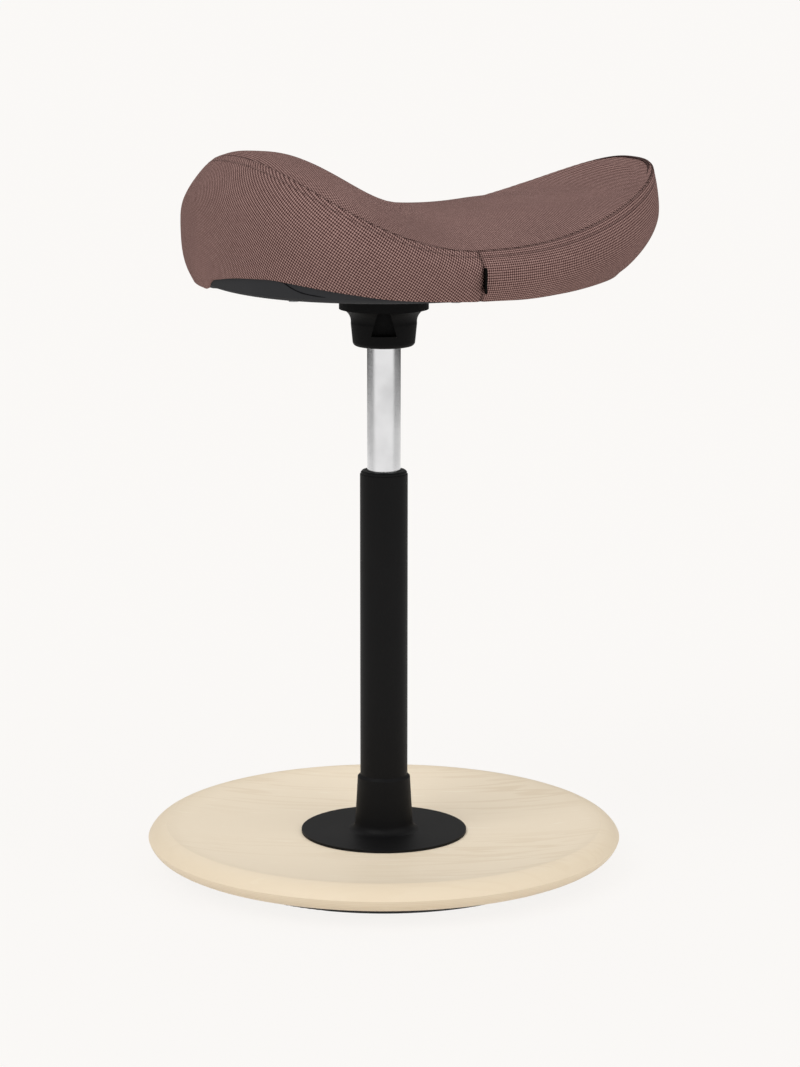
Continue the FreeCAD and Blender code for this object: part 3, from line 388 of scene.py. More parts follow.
def foot_wood():
    """The foot: veneer on top, its plies showing round the rounded rim."""
    made, net, shader = new_material("pale_wood", Roughness=0.5, Specular_IOR_Level=0.3)
    spot = net.mapping(place_of(net), turn=(0, 0, -GRAIN_TURN))
    grain = use(net, GRAIN, Vector=spot, Figure=0.3)
    across, along, up = net.split(place_of(net))
    rim = net.ramp(net.hypot(across, along), *BOARD_RIM)
    plies = net.math("SINE", net.math("MULTIPLY", up, 2 * math.pi / PLY_PITCH))
    shown = net.ramp(up, *GLUE_HEIGHTS, top=GLUE_SHARE)
    line = net.math("MULTIPLY", net.ramp(plies, *GLUE_SPAN), shown)
    edge = net.mix(line, net.mix(RIM_SHARE, grain["Colour"], WOOD_EDGE), WOOD_GLUE)
    height = net.math("ADD", grain["Height"], net.math("MULTIPLY", line, rim))
    surface(net, shader, net.mix(rim, grain["Colour"], edge), height, VENEER_DEPTH)
    return made


# The other finishes' patterns, in cells or lines a metre, with their depths in metres.
SHELL_DEPTH = 0.0001
FOAM_CELLS, FOAM_DEPTH = 1200.0, 0.0004
LINING_GRIT, LINING_DEPTH = 1400.0, 0.00012
TAPE_PITCH, TAPE_DEPTH = 0.0006, 0.0002
TWIST_LINES, TWIST_DEPTH = 900.0, 0.0001


def shell_wood():
    made, net, shader = new_material("moulded_ply", Roughness=0.6)
    grain = use(net, GRAIN, Vector=place_of(net), Figure=0.8)
    surface(net, shader, grain["Colour"], grain["Height"], SHELL_DEPTH)
    return made


def foam_stuff():
    made, net, shader = new_material("open_foam", Roughness=1.0)
    keys = {"Vector": place_of(net), "Scale": FOAM_CELLS}
    cells = net.node("ShaderNodeTexVoronoi", keys).outputs["Distance"]
    # Each cell's pit takes the darker colour: painted shade in the foam's pores.
    surface(net, shader, net.mix(cells, FOAM_PIT_SHADE, FOAM_PALE), cells, FOAM_DEPTH)
    return made


def lining_stuff():
    """The slate-grey lining: a fine felted skin."""
    made, net, shader = new_material("slate_lining", Roughness=0.85, Specular_IOR_Level=0.15)
    skin = use(net, SKIN, Vector=place_of(net), Colour=LINING, Rubbed=LINING_RUBBED,
               Grit=LINING_GRIT)
    surface(net, shader, skin["Colour"], skin["Height"], LINING_DEPTH)
    return made


def tape_stuff():
    made, net, shader = new_material("black_tape", Roughness=1.0, Specular_IOR_Level=0.05)
    cloth = use(net, WEAVE, Vector=place_of(net, "UV"), Pitch=TAPE_PITCH, Yarn=TAPE_YARN,
                Crest=TAPE_CREST_HIGHLIGHT, Hole=TAPE_HOLE_SHADE)
    surface(net, shader, cloth["Colour"], cloth["Height"], TAPE_DEPTH)
    return made


def thread_stuff():
    made, net, shader = new_material("sewing_thread", Roughness=0.7)
    keys = {"Vector": place_of(net), "Scale": TWIST_LINES}
    twist = net.node("ShaderNodeTexWave", keys, bands_direction="DIAGONAL").outputs["Fac"]
    surface(net, shader, net.mix(twist, THREAD, FABRIC_YARN), twist, TWIST_DEPTH)
    return made


REAR_WEAVE_TURN = math.radians(32)
FINISHES = {
    "rubber": skinned("rocking_rubber", RUBBER, RUBBER_RUBBED, depth=0.0001, grit=700.0,
                      shine=0.8, spread=0.15),
    "ash_ply": foot_wood(),
    "black_powder": skinned("black_powder_coat", BLACK_COAT, COAT_RUBBED, depth=0.00006,
                            grit=1100.0, shine=0.52, spread=0.1, Specular_IOR_Level=0.12),
    "zinc_steel": metal("zinc_plate", ZINC, 0.35, lines=(400, 400, 400), depth=0.00004),
    "black_plastic": skinned("black_moulded", BLACK_MOULDED, MOULDED_RUBBED, depth=0.0001,
                             grit=1500.0, shine=0.5, spread=0.1, Specular_IOR_Level=0.12),
    "bearing_steel": metal("ground_steel", GROUND_STEEL, 0.15, lines=(50, 50, 3000),
                           depth=0.00002),
    "bright_steel": metal("bright_plate", BRIGHT_PLATE, 0.16, lines=(30, 30, 2600),
                          depth=0.00002),
    "machined_alloy": metal("turned_alloy", TURNED_ALLOY, 0.30, lines=(30, 30, 2200),
                            depth=0.00005),
    "black_cast": skinned("black_casting", BLACK_CAST, CAST_RUBBED, depth=0.00022, grit=420.0,
                          shine=0.62, spread=0.1, Specular_IOR_Level=0.1),
    "shell_ply": shell_wood(),
    "foam": foam_stuff(),
    "weave": woven("basket_cloth", 0.0),
    "tag_black": tape_stuff(),
    "grey_lining": lining_stuff(),
}
REAR_CLOTH = woven("basket_cloth_rear", REAR_WEAVE_TURN)
THREAD_STUFF = thread_stuff()


def dress_frame():
    """Gives every part of the frame the finish of its slot."""
    slots = {part["node"]: part["material_slot"] for part in frame["record"]["subparts"]}
    for node, thing in frame["nodes"].items():
        thing.data.materials.clear()
        thing.data.materials.append(FINISHES[slots[node]])


# The seat's form. Lengths below are millimetres on the seat: u along it, v across it.
# An outline turns through an angle t from the front end (0) round to the rear end (pi).
# First its reach and its roundness, then the seam's inset and height, then the band's foot,
# which is tucked in below the belly, and how the top rises from its centre line to the seam.
SEAT_FRONT, SEAT_REAR, SEAT_HALF, SEAT_MIDDLE = 238.87, 156.5, 159.75, 20.43
FRONT_POWER, REAR_POWER, TAPER = 2.55, 2.45, 0.0011
SEAM_FRONT_IN, SEAM_SIDE_IN, SEAM_REAR_IN = 3.97, 14.08, 26.14
SEAM_SIDE, SEAM_FRONT, SEAM_REAR = 534.93, 591.54, 604.6
SEAM_FRONT_POWER, SEAM_REAR_POWER = 1.83, 1.58
BAND_FOOT, BAND_FOOT_FRONT = 492.4, 506.29
TUCK_FRONT, TUCK_SIDE = 35.78, 11.51
BELLY_HIGH, BELLY_LOW = 0.45, 0.4
TUCK_POWER, TUCK_POWER_REAR, TUCK_LIMIT = 2.0, 4.0, 1.2
CROSS_POWER, RIM_FROM = 2.06, 0.9
SEAM_SAMPLES, RIDGE_SAMPLES, OUTLINE_SAMPLES = 721, 400, 2400
# The centre line: place along the seat, height and slope.
RIDGE = np.array([
    (-130.36, 604.60, 0.3785), (-100.0, 605.89, -0.0423), (-40.0, 579.28, -0.5598),
    (25.0, 558.66, -0.0769), (100.0, 560.20, 0.1105), (170.0, 561.77, 0.0434),
    (234.90, 591.54, 0.6000)])
# The cloth's lower edge: degrees round the outline, less than 0 on the sitter's right, and
# its height. Near the rear corner on that side it is raised.
HEM = np.array([
    (-182, 500.8), (-180, 504.7), (-178, 506.3), (-171, 510.2), (-162, 512.6), (-155, 513.6),
    (-146, 511.8), (-139, 509.6), (-132, 507.1), (-125, 504.6), (-119, 502.2), (-113, 500.3),
    (-104, 498.1), (-96, 496.2), (-90, 494.8), (-84, 493.6), (-73, 494.9), (-55, 498.6),
    (-33, 501.2), (-15, 504.5), (0, 506.0), (15, 504.5), (33, 501.2), (55, 498.6), (73, 494.9),
    (84, 494.0), (96, 494.0), (120, 494.6), (150, 494.8), (170, 493.8), (174, 494.2),
    (176, 496.8), (178, 500.8), (180, 504.7), (182, 506.3)])
# The underside: a shallow cone about the column that rises to both ends and turns up to the hem.
PAN_FLOOR, PAN_FLAT, PAN_SLOPE = 483.5, 46.0, 0.112
PAN_KNEE, PAN_BOW = 0.75, 0.6
RIM_LIFT = 3.0
NOSE_SLOPE_FROM, TAIL_SLOPE_FROM = 130.0, 125.0
NOSE_RISE, TAIL_RISE = 22.5, 11.0


def hermite(table, at):
    """A smooth line through places, heights and slopes."""
    place, high, slope = table.T
    at = np.clip(at, place[0], place[-1])
    index = np.clip(np.searchsorted(place, at) - 1, 0, len(place) - 2)
    span = place[index + 1] - place[index]
    part = (at - place[index]) / span
    rest = 1 - part
    return (high[index] * (1 + 2 * part) * rest ** 2 + high[index + 1] * part ** 2 * (3 - 2 * part)
            + span * part * rest * (slope[index] * rest - slope[index + 1] * part))


def with_slopes(table):
    """Adds the slope of a smooth line at each place of a table of places and heights."""
    return np.column_stack([table, np.gradient(table[:, 1], table[:, 0])])


HEM_LINE = with_slopes(HEM)


def bent(share, power):
    return np.sign(share) * np.abs(share) ** (2 / power)


def outline(t, inward):
    """The seat's outline seen from above, drawn in by a share of the seam's inset."""
    front, side = np.cos(t), np.sin(t)
    ahead = front > 0
    end_in = np.where(ahead, SEAM_FRONT_IN, SEAM_REAR_IN)
    drawn = inward * (end_in * front ** 2 + SEAM_SIDE_IN * side ** 2)
    power = np.where(ahead, FRONT_POWER, REAR_POWER)
    reach = np.where(ahead, SEAT_FRONT - SEAT_MIDDLE, SEAT_REAR + SEAT_MIDDLE)
    u = SEAT_MIDDLE + (reach - drawn) * bent(front, power)
    v = (SEAT_HALF - drawn) * bent(side, power) * (1 - TAPER * (u - SEAT_MIDDLE))
    return u, v


def seam_height(t):
    front = np.cos(t)
    power = np.where(front > 0, SEAM_FRONT_POWER, SEAM_REAR_POWER)
    end = np.where(front > 0, SEAM_FRONT, SEAM_REAR)
    return SEAM_SIDE + (end - SEAM_SIDE) * np.abs(front) ** power


def hem_share(t):
    """How far down its whole height the band's cloth reaches."""
    turn = np.degrees((t + math.pi) % (2 * math.pi) - math.pi)
    foot = band_foot(t)
    high = seam_height(t)
    return (high - hermite(HEM_LINE, turn)) / (high - foot)


def band_foot(t):
    return BAND_FOOT + (BAND_FOOT_FRONT - BAND_FOOT) * np.maximum(np.cos(t), 0) ** 2


def band(t, down):
    """The side band's surface at a share down from the seam."""
    swell = np.sin(np.clip(down / BELLY_HIGH, 0, 1) * math.pi / 2)
    u, v = outline(t, 1 - swell)
    power = TUCK_POWER + (TUCK_POWER_REAR - TUCK_POWER) * np.maximum(-np.cos(t), 0)
    part = np.clip((down - BELLY_LOW) / (1 - BELLY_LOW), 0, TUCK_LIMIT) ** power
    tuck = (TUCK_SIDE + (TUCK_FRONT - TUCK_SIDE) * np.maximum(np.cos(t), 0) ** 2) * part
    away = np.hypot(u - SEAT_MIDDLE, v)
    scale = (away - tuck) / away
    high = seam_height(t)
    return np.stack([SEAT_MIDDLE + (u - SEAT_MIDDLE) * scale, v * scale,
                     high + (band_foot(t) - high) * down], -1)


def top(t, out):
    """The top panel's surface, at a share of the way out from the middle to the seam."""
    u_seam, v_seam = outline(t, 1.0)
    u = SEAT_MIDDLE + (u_seam - SEAT_MIDDLE) * out
    v = v_seam * out
    half, high = seam_at(u)
    ridge = hermite(RIDGE, u)
    share = np.clip(np.abs(v) / np.maximum(half, 1e-6), 0, 1) ** CROSS_POWER
    z = ridge + (high - ridge) * share
    rim = np.clip((out - RIM_FROM) / (1 - RIM_FROM), 0, 1) ** 2
    return np.stack([u, v, z + (seam_height(t) - z) * rim], -1)


SEAM_TURNS = np.linspace(0, math.pi, SEAM_SAMPLES)
SEAM_PLACES = outline(SEAM_TURNS, 1.0)


def seam_at(u):
    """Half the width between the seams, and their height, at a place along the seat."""
    places, halves = SEAM_PLACES
    turn = np.interp(-u, -places, SEAM_TURNS)
    return np.interp(-u, -places, halves), seam_height(turn)


def underside(u, v):
    """Height of the underside away from its turned-up rim."""
    ahead = u > SEAT_MIDDLE
    start = np.where(ahead, NOSE_SLOPE_FROM, TAIL_SLOPE_FROM)
    stop = np.where(ahead, SEAT_FRONT - TUCK_FRONT, SEAT_REAR - TUCK_SIDE)
    spare = np.where(ahead, NOSE_RISE, TAIL_RISE) - PAN_SLOPE * (stop - PAN_FLAT)
    part = np.clip((np.abs(u) - start) / (stop - start), 0, 1)
    return PAN_FLOOR + PAN_SLOPE * np.maximum(np.hypot(u, v) - PAN_FLAT, 0) + spare * part ** 2


def rim_share(t):
    """How far down the band the lining's wall ends: the hem, or lower where it is raised."""
    high = seam_height(t)
    foot = band(t, np.ones_like(t))
    lowest = underside(foot[..., 0], foot[..., 1]) + RIM_LIFT
    return np.maximum(hem_share(t), (high - lowest) / (high - band_foot(t)))


def pan(t, inward):
    """The lining's surface, from the foot of its wall (0) to the column's axis (1)."""
    rim = band(t, rim_share(t))
    away = np.hypot(rim[..., 0], rim[..., 1])
    knee = PAN_FLAT + PAN_KNEE * (away - PAN_FLAT)
    u, v = rim[..., 0] * (1 - inward), rim[..., 1] * (1 - inward)
    run = np.clip((away * (1 - inward) - knee) / (away - knee), 0, 1)
    lift = rim[..., 2] - underside(rim[..., 0], rim[..., 1])
    return np.stack([u, v, underside(u, v) + lift * (1 - (1 - run ** 2) ** PAN_BOW)], -1)


def unit(vectors):
    return vectors / np.maximum(np.linalg.norm(vectors, axis=-1, keepdims=True), 1e-12)


def normals(points, closed):
    """Unit normals of a grid whose rows go down the seat and whose columns go round it."""
    down = np.gradient(points, axis=0)
    if closed:
        along = np.roll(points, -1, 1) - np.roll(points, 1, 1)
    else:
        along = np.gradient(points, axis=1)
    return unit(np.cross(down, along))


def grid_faces(rows, columns, closed):
    faces = []
    for row in range(rows - 1):
        for column in range(columns if closed else columns - 1):
            here = row * columns + column
            beside = row * columns + (column + 1) % columns
            faces.append((here, here + columns, beside + columns, beside))
    return faces


def new_object(name, points, faces, uv=None, stuff=None, shade=None):
    """A smooth mesh from points in millimetres, with its cloth's flat layout and painted shade."""
    mesh = bpy.data.meshes.new(name)
    mesh.from_pydata((np.asarray(points).reshape(-1, 3) * MM).tolist(), [], faces)
    if uv is not None:
        layer = mesh.uv_layers.new(name="UVMap")
        corners = np.empty(len(mesh.loops), dtype=np.int32)
        mesh.loops.foreach_get("vertex_index", corners)
        flat = np.asarray(uv).reshape(-1, 2)[corners] * MM
        layer.data.foreach_set("uv", flat.ravel())
    if shade is not None:
        shades = mesh.attributes.new("shade", "FLOAT", "POINT")
        shades.data.foreach_set("value", np.ravel(shade))
    mesh.shade_smooth()
    if stuff:
        mesh.materials.append(stuff)
    return linked(name, mesh)


def applied(thing):
    """Puts an object's modifiers into its mesh."""
    graph = bpy.context.evaluated_depsgraph_get()
    mesh = bpy.data.meshes.new_from_object(thing.evaluated_get(graph))
    thing.modifiers.clear()
    thing.data = mesh
    return thing


def thick(thing, thickness):
    """Gives a sheet its thickness in metres, inwards."""
    solid = thing.modifiers.new("sheet", "SOLIDIFY")
    solid.thickness = thickness
    solid.offset = -1
    return applied(thing)


def points_of(mesh):
    flat = np.empty(len(mesh.vertices) * 3)
    mesh.vertices.foreach_get("co", flat)
    return flat.reshape(-1, 3)


# The cushion swells inside its cover and is held along the seam and the hem. Its own form lies
# inside the cover's, and its rows are shares of the way: the first, the last and their count.
CUSHION_INSET = 3.4
CUSHION_BOTTOM = 14.5
CUSHION_ROUND = 120
CUSHION_TOP, CUSHION_SIDE, CUSHION_UNDER = (0.03, 1, 26), (0.08, 1, 14), (0.05, 0.97, 20)
CUSHION_FOOT = 0.95
VOXEL = 0.005
PRESSURE = 4.0
CLOTH_QUALITY = 6
SIM_FRAMES = 20
SWELL_CAP = 0.004
HELD_WITHIN = 0.006
HELD_ABOVE = 2
HELD_SAMPLES, HELD_BATCH = 720, 2000
PANEL_SWELL = 1.3
SMOOTHINGS = 6


def cushion_form():
    """The closed form of the foam: top, sides and bottom."""
    t = np.linspace(0, 2 * math.pi, CUSHION_ROUND, endpoint=False)
    rows = [top(t, out) for out in np.linspace(*CUSHION_TOP)]
    rows += [band(t, hem_share(t) * part * CUSHION_FOOT) for part in np.linspace(*CUSHION_SIDE)]
    sheet = np.array(rows)
    sheet = sheet + normals(sheet, True) * -CUSHION_INSET
    bottom = np.array([pan(t, part) for part in np.linspace(*CUSHION_UNDER)])
    bottom[..., 2] += CUSHION_BOTTOM
    points = np.concatenate([sheet, bottom])
    count = len(points)
    faces = grid_faces(count, CUSHION_ROUND, True)
    faces.append(tuple(range(CUSHION_ROUND)))
    last = (count - 1) * CUSHION_ROUND
    faces.append(tuple(last + step for step in reversed(range(CUSHION_ROUND))))
    return new_object("seat_cushion", points, faces, stuff=FINISHES["foam"])


def held_weights(points):
    """1 where a point of the cushion lies at the seam, at the hem or below it."""
    t = np.linspace(0, 2 * math.pi, HELD_SAMPLES, endpoint=False)
    line = np.concatenate([band(t, 0 * t), band(t, hem_share(t))]) * MM
    weights = np.zeros(len(points))
    for start in range(0, len(points), HELD_BATCH):
        part = points[start:start + HELD_BATCH]
        away = np.linalg.norm(part[:, None] - line[None], axis=-1).min(1)
        weights[start:start + HELD_BATCH] = np.clip(2 - away / HELD_WITHIN, 0, 1)
    under = underside(points[:, 0] / MM, points[:, 1] / MM) + CUSHION_BOTTOM + HELD_ABOVE
    weights[points[:, 2] < under * MM] = 1
    return weights


def swell(thing):
    """Blows the cushion up as cloth under pressure, then limits how far each point moved."""
    remesh = thing.modifiers.new("even", "REMESH")
    remesh.mode = "VOXEL"
    remesh.voxel_size = VOXEL
    applied(thing)
    before = points_of(thing.data)
    held = thing.vertex_groups.new(name="held")
    for index, weight in enumerate(held_weights(before)):
        if weight > 0:
            held.add([index], float(weight), "REPLACE")
    cloth = thing.modifiers.new("swell", "CLOTH")
    cloth.settings.use_pressure = True
    cloth.settings.uniform_pressure_force = PRESSURE
    cloth.settings.effector_weights.gravity = 0
    cloth.settings.vertex_group_mass = "held"
    cloth.settings.quality = CLOTH_QUALITY
    for step in range(1, SIM_FRAMES + 1):
        scene.frame_set(step)
    applied(thing)
    scene.frame_set(1)
    moved = points_of(thing.data) - before
    far = np.linalg.norm(moved, axis=1, keepdims=True)
    moved *= np.minimum(1, SWELL_CAP / np.maximum(far, 1e-9))
    thing.data.vertices.foreach_set("co", (before + moved).ravel())
    thing.data.update()
    return thing


class Cushion:
    """The swollen cushion, and how far it stands from a cover's surface."""

    def __init__(self):
        self.thing = swell(cushion_form())
        mesh = self.thing.data
        self.tree = BVHTree.FromPolygons([vertex.co for vertex in mesh.vertices],
                                         [face.vertices for face in mesh.polygons])
        mesh.shade_smooth()

    def lift(self, points, outward):
        """The cushion's swelling along a grid's normals, smoothed, in millimetres."""
        rise = np.zeros(points.shape[:2])
        for index in np.ndindex(rise.shape):
            spot = self.tree.find_nearest(tuple(points[index] * MM))[0]
            if spot is not None:
                rise[index] = np.dot(np.array(spot) / MM - points[index], outward[index])
        for _ in range(SMOOTHINGS):
            padded = np.pad(rise, 1, mode="edge")
            rise = (padded[:-2, 1:-1] + padded[2:, 1:-1] + padded[1:-1, :-2] + padded[1:-1, 2:]
                    + 4 * rise) / 8
        rise -= rise.mean()
        return np.clip(rise, -PANEL_SWELL, PANEL_SWELL)


# How the cover is sewn, in millimetres from the seam: its groove, the broad sink beside it at
# the rear, the side seam's groove, the topstitch, and the painted shade on the cloth in and beside
# these grooves.
GROOVE_DEPTH, GROOVE_WIDTH = 1.3, 1.2
SINK_DEPTH, SINK_WIDTH = 1.5, 7.0
SEAM_SHADE, SEAM_SHADE_WIDTH = 0.72, 1.25
SIDE_GROOVE, SIDE_SHADE = 0.6, 0.5
STITCH_SHADE, STITCH_SHADE_WIDTH = 0.2, 0.7
STITCH_DOWN, STITCH_GROOVE, STITCH_WIDTH = 7.6, 0.35, 1.2
ALLOWANCE = 4.0
PUCKER, PUCKER_PITCH, PUCKER_FADE = 0.16, 7.2, 6.0
CLOTH_THICK = 0.0009
SIDE_SEAM = math.radians(90.99)
# The hem, which turns in at a radius, flattened, and ends in a short tail.
HEM_PARTS, HEM_TURN, HEM_FLAT = (0.35, 0.7, 1.0), 3.0, 0.35
HEM_TAIL, HEM_TAIL_RISE = 4, 2.0
HEM_ROWS, HEM_ROW = len(HEM_PARTS) + 1, 1.2


def lengths_down(points):
    """How far each point lies down its column from the first row."""
    steps = np.linalg.norm(np.diff(points, axis=0), axis=-1)
    return np.concatenate([np.zeros((1, points.shape[1])), np.cumsum(steps, 0)])


def sewn(away, along, t):
    """How far the cloth is drawn in at a distance from a seam, most of all at the seat's rear."""
    dip = GROOVE_DEPTH * np.exp(-(away / GROOVE_WIDTH) ** 2)
    dip = dip + SINK_DEPTH * np.maximum(-np.cos(t), 0) * np.exp(-(away / SINK_WIDTH) ** 2)
    pucker = PUCKER * np.sin(along * 2 * math.pi / PUCKER_PITCH) * np.exp(-away / PUCKER_FADE)
    return dip - pucker * (1 - np.exp(-(away / GROOVE_WIDTH) ** 2))


def seam_shade(away):
    """The cloth's brightness at a distance from a seam, lowered by painted shade in the seam's
    groove.
    """
    return 1 - SEAM_SHADE * np.exp(-(away / SEAM_SHADE_WIDTH) ** 2)


# The top panel: its grid, how far from its middle that starts and how it crowds to the rim, and
# how far from the rim the cushion's swelling dies out.
TOP_ROUND, TOP_RINGS = 360, 64
TOP_MIDDLE, TOP_CROWDING = 0.012, 1.35
TOP_LIFT_FADE = 18


def top_panel(cushion):
    t = np.linspace(0, 2 * math.pi, TOP_ROUND, endpoint=False)
    shares = 1 - (1 - np.linspace(TOP_MIDDLE, 1, TOP_RINGS)) ** TOP_CROWDING
    points = np.array([top(t, share) for share in shares])
    outward = normals(points, True)
    from_rim = lengths_down(points)
    from_rim = from_rim[-1] - from_rim
    steps = np.linalg.norm(np.diff(points[-1], axis=0), axis=1)
    around = np.concatenate([[0], np.cumsum(steps)])
    lift = cushion.lift(points, outward) * np.clip(from_rim / TOP_LIFT_FADE, 0, 1)
    points = points + outward * (lift - sewn(from_rim, around, t))[..., None]
    tucked = points[-1] + outward[-1] * -ALLOWANCE
    points = np.concatenate([points, tucked[None]])
    # The cloth is darkened beside the rim's seam and on the tucked allowance: painted shade in the
    # groove.
    shade = seam_shade(np.concatenate([from_rim, np.zeros((1, TOP_ROUND))]))
    u, v = points[..., 0], points[..., 1]
    flat = np.stack([ridge_length(u), cross_length(u, v)], -1)
    # One point closes the hole in the middle.
    middle = np.array([[SEAT_MIDDLE, 0, hermite(RIDGE, np.array([SEAT_MIDDLE]))[0]]])
    middle[0, 2] += (points[0, :, 2] - hermite(RIDGE, points[0, :, 0])).mean()
    faces = grid_faces(len(points), TOP_ROUND, True)
    pole = len(points) * TOP_ROUND
    faces += [(pole, step, (step + 1) % TOP_ROUND) for step in range(TOP_ROUND)]
    points = np.concatenate([points.reshape(-1, 3), middle])
    flat = np.concatenate([flat.reshape(-1, 2), [[float(ridge_length(middle[0, :1])[0]), 0]]])
    shade = np.append(shade.ravel(), 1.0)
    thing = new_object("cover_top", points, faces, flat, FINISHES["weave"], shade)
    return thick(thing, CLOTH_THICK)


def ridge_length(u):
    """Length along the centre line up to a place."""
    places = np.linspace(RIDGE[0, 0], RIDGE[-1, 0], RIDGE_SAMPLES)
    steps = np.hypot(np.diff(places), np.diff(hermite(RIDGE, places)))
    return np.interp(u, places, np.concatenate([[0], np.cumsum(steps)]))


CROSS_SHARES = np.linspace(0.04, 0.96, 12)


def cross_length(u, v):
    """Length across the top from its centre line out to a place."""
    half, high = seam_at(u)
    half = np.maximum(half, 1.0)
    drop = high - hermite(RIDGE, u)
    total = 0
    for share in CROSS_SHARES:
        out = np.clip(np.abs(v) * share / half, 0, 1)
        slope = drop * CROSS_POWER / half * out ** (CROSS_POWER - 1)
        total = total + np.sqrt(1 + slope ** 2)
    return v * total / len(CROSS_SHARES)


def around_band(t):
    """Length round the seat's widest outline."""
    turns = np.linspace(-math.pi, 2 * math.pi, OUTLINE_SAMPLES)
    u, v = outline(turns, 0)
    steps = np.hypot(np.diff(u), np.diff(v))
    return np.interp(t, turns, np.concatenate([[0], np.cumsum(steps)]))


BAND_ROWS, BAND_CROWDING = 84, 1.3
FRONT_COLUMNS, REAR_COLUMNS = 300, 260
BAND_LIFT_FADE = 14


def turned_hem(lowest, inward):
    """The hem's rows below a panel's lowest row: a turn, then a tail that lies inside it."""
    rows = []
    for part in HEM_PARTS:
        turn = part * math.pi / 2
        rows.append(lowest + inward * HEM_TURN * (1 - math.cos(turn))
                    + np.array([0, 0, -HEM_TURN * HEM_FLAT * math.sin(turn)]))
    rows.append(rows[-1] + inward * HEM_TAIL + np.array([0, 0, HEM_TAIL_RISE]))
    return np.array(rows)


def band_panel(name, start, stop, columns, cushion, level, stuff):
    """One panel of the side band, from one side seam to the other, and its grid of points."""
    t = np.linspace(start, stop, columns)
    shares = np.linspace(0, 1, BAND_ROWS) ** BAND_CROWDING
    end = hem_share(t)
    points = np.array([band(t, share * end) for share in shares])
    outward = normals(points, False)
    down = lengths_down(points)
    along = around_band(t)
    ends = np.minimum(along - along[0], along[-1] - along)
    from_edge = np.minimum(down, down[-1] - down)
    fade = np.clip(np.minimum(from_edge, ends[None]) / BAND_LIFT_FADE, 0, 1)
    drawn = sewn(down, along[None], t) + SIDE_GROOVE * np.exp(-(ends[None] / GROOVE_WIDTH) ** 2)
    drawn = drawn + STITCH_GROOVE * np.exp(-((down - STITCH_DOWN) / STITCH_WIDTH) ** 2)
    points = points + outward * (cushion.lift(points, outward) * fade - drawn)[..., None]
    above = points[0] - outward[0] * ALLOWANCE
    rows = np.concatenate([above[None], points, turned_hem(points[-1], -outward[-1])])
    if level:
        vertical = rows[..., 2]
    else:
        below = down[-1:] + np.arange(1, HEM_ROWS + 1)[:, None] * HEM_ROW
        vertical = np.concatenate([down[:1] - ALLOWANCE, down, below])
    flat = np.stack([np.broadcast_to(along, vertical.shape), vertical], -1)
    faces = grid_faces(len(rows), columns, False)
    # The cloth is darkened along the seam, at the side seams and along the topstitch: painted
    # shade in their grooves.
    shade = seam_shade(down) * (1 - SIDE_SHADE * (1 - seam_shade(ends)))[None]
    beside = ((down - STITCH_DOWN) / STITCH_SHADE_WIDTH) ** 2
    shade = shade * (1 - STITCH_SHADE * np.exp(-beside))
    shade = np.concatenate([shade[:1], shade, np.repeat(shade[-1:], HEM_ROWS, 0)])
    return thick(new_object(name, rows, faces, flat, stuff, shade), CLOTH_THICK), points


# The topstitch's pitch, length and thread in metres, and its lift off the cloth in millimetres.
STITCH_PITCH, STITCH_LENGTH, THREAD_RADIUS = 0.0036, 0.0029, 0.00032
STITCH_SIDES, STITCH_RINGS, STITCH_LIFT = 6, 5, 0.12


def stitch_tree():
    """Geometry nodes that lay stitches along a line."""
    tree = bpy.data.node_groups.new("stitch_line", "GeometryNodeTree")
    for label, way in (("Line", "INPUT"), ("Stitches", "OUTPUT")):
        tree.interface.new_socket(label, in_out=way, socket_type="NodeSocketGeometry")
    net = Net(tree)
    line, go = net.out("NodeGroupInput"), net.node("NodeGroupOutput").inputs
    curve = net.out("GeometryNodeMeshToCurve", {"Mesh": line})
    even = net.out("GeometryNodeResampleCurve", {"Curve": curve, "Length": STITCH_PITCH},
                   mode="LENGTH")
    tangent = net.out("GeometryNodeInputTangent")
    turn = net.out("FunctionNodeAlignRotationToVector", {"Vector": tangent}, axis="Z")
    stitch = net.out("GeometryNodeMeshUVSphere", {
        "Segments": STITCH_SIDES, "Rings": STITCH_RINGS, "Radius": 1.0})
    placed = net.out("GeometryNodeInstanceOnPoints", {
        "Points": even, "Instance": stitch, "Rotation": turn,
        "Scale": (THREAD_RADIUS, THREAD_RADIUS, STITCH_LENGTH / 2)})
    real = net.out("GeometryNodeRealizeInstances", {"Geometry": placed})
    smooth = net.out("GeometryNodeSetShadeSmooth", {"Geometry": real})
    done = net.out("GeometryNodeSetMaterial", {"Geometry": smooth, "Material": THREAD_STUFF})
    net.put(go["Stitches"], done)
    return tree


def stitch_line(name, tree, line):
    """A row of stitches along millimetre points, as a plain mesh."""
    edges = [(step, step + 1) for step in range(len(line) - 1)]
    mesh = bpy.data.meshes.new(name)
    mesh.from_pydata((line * MM).tolist(), edges, [])
    thing = linked(name, mesh)
    thing.modifiers.new("stitches", "NODES").node_group = tree
    return applied(thing)


def row_at(points, distance):
    """The line across a panel's columns at a distance down from its seam."""
    down = lengths_down(points)
    return np.array([[np.interp(distance, down[:, column], points[:, column, axis])
                      for axis in range(3)] for column in range(points.shape[1])])


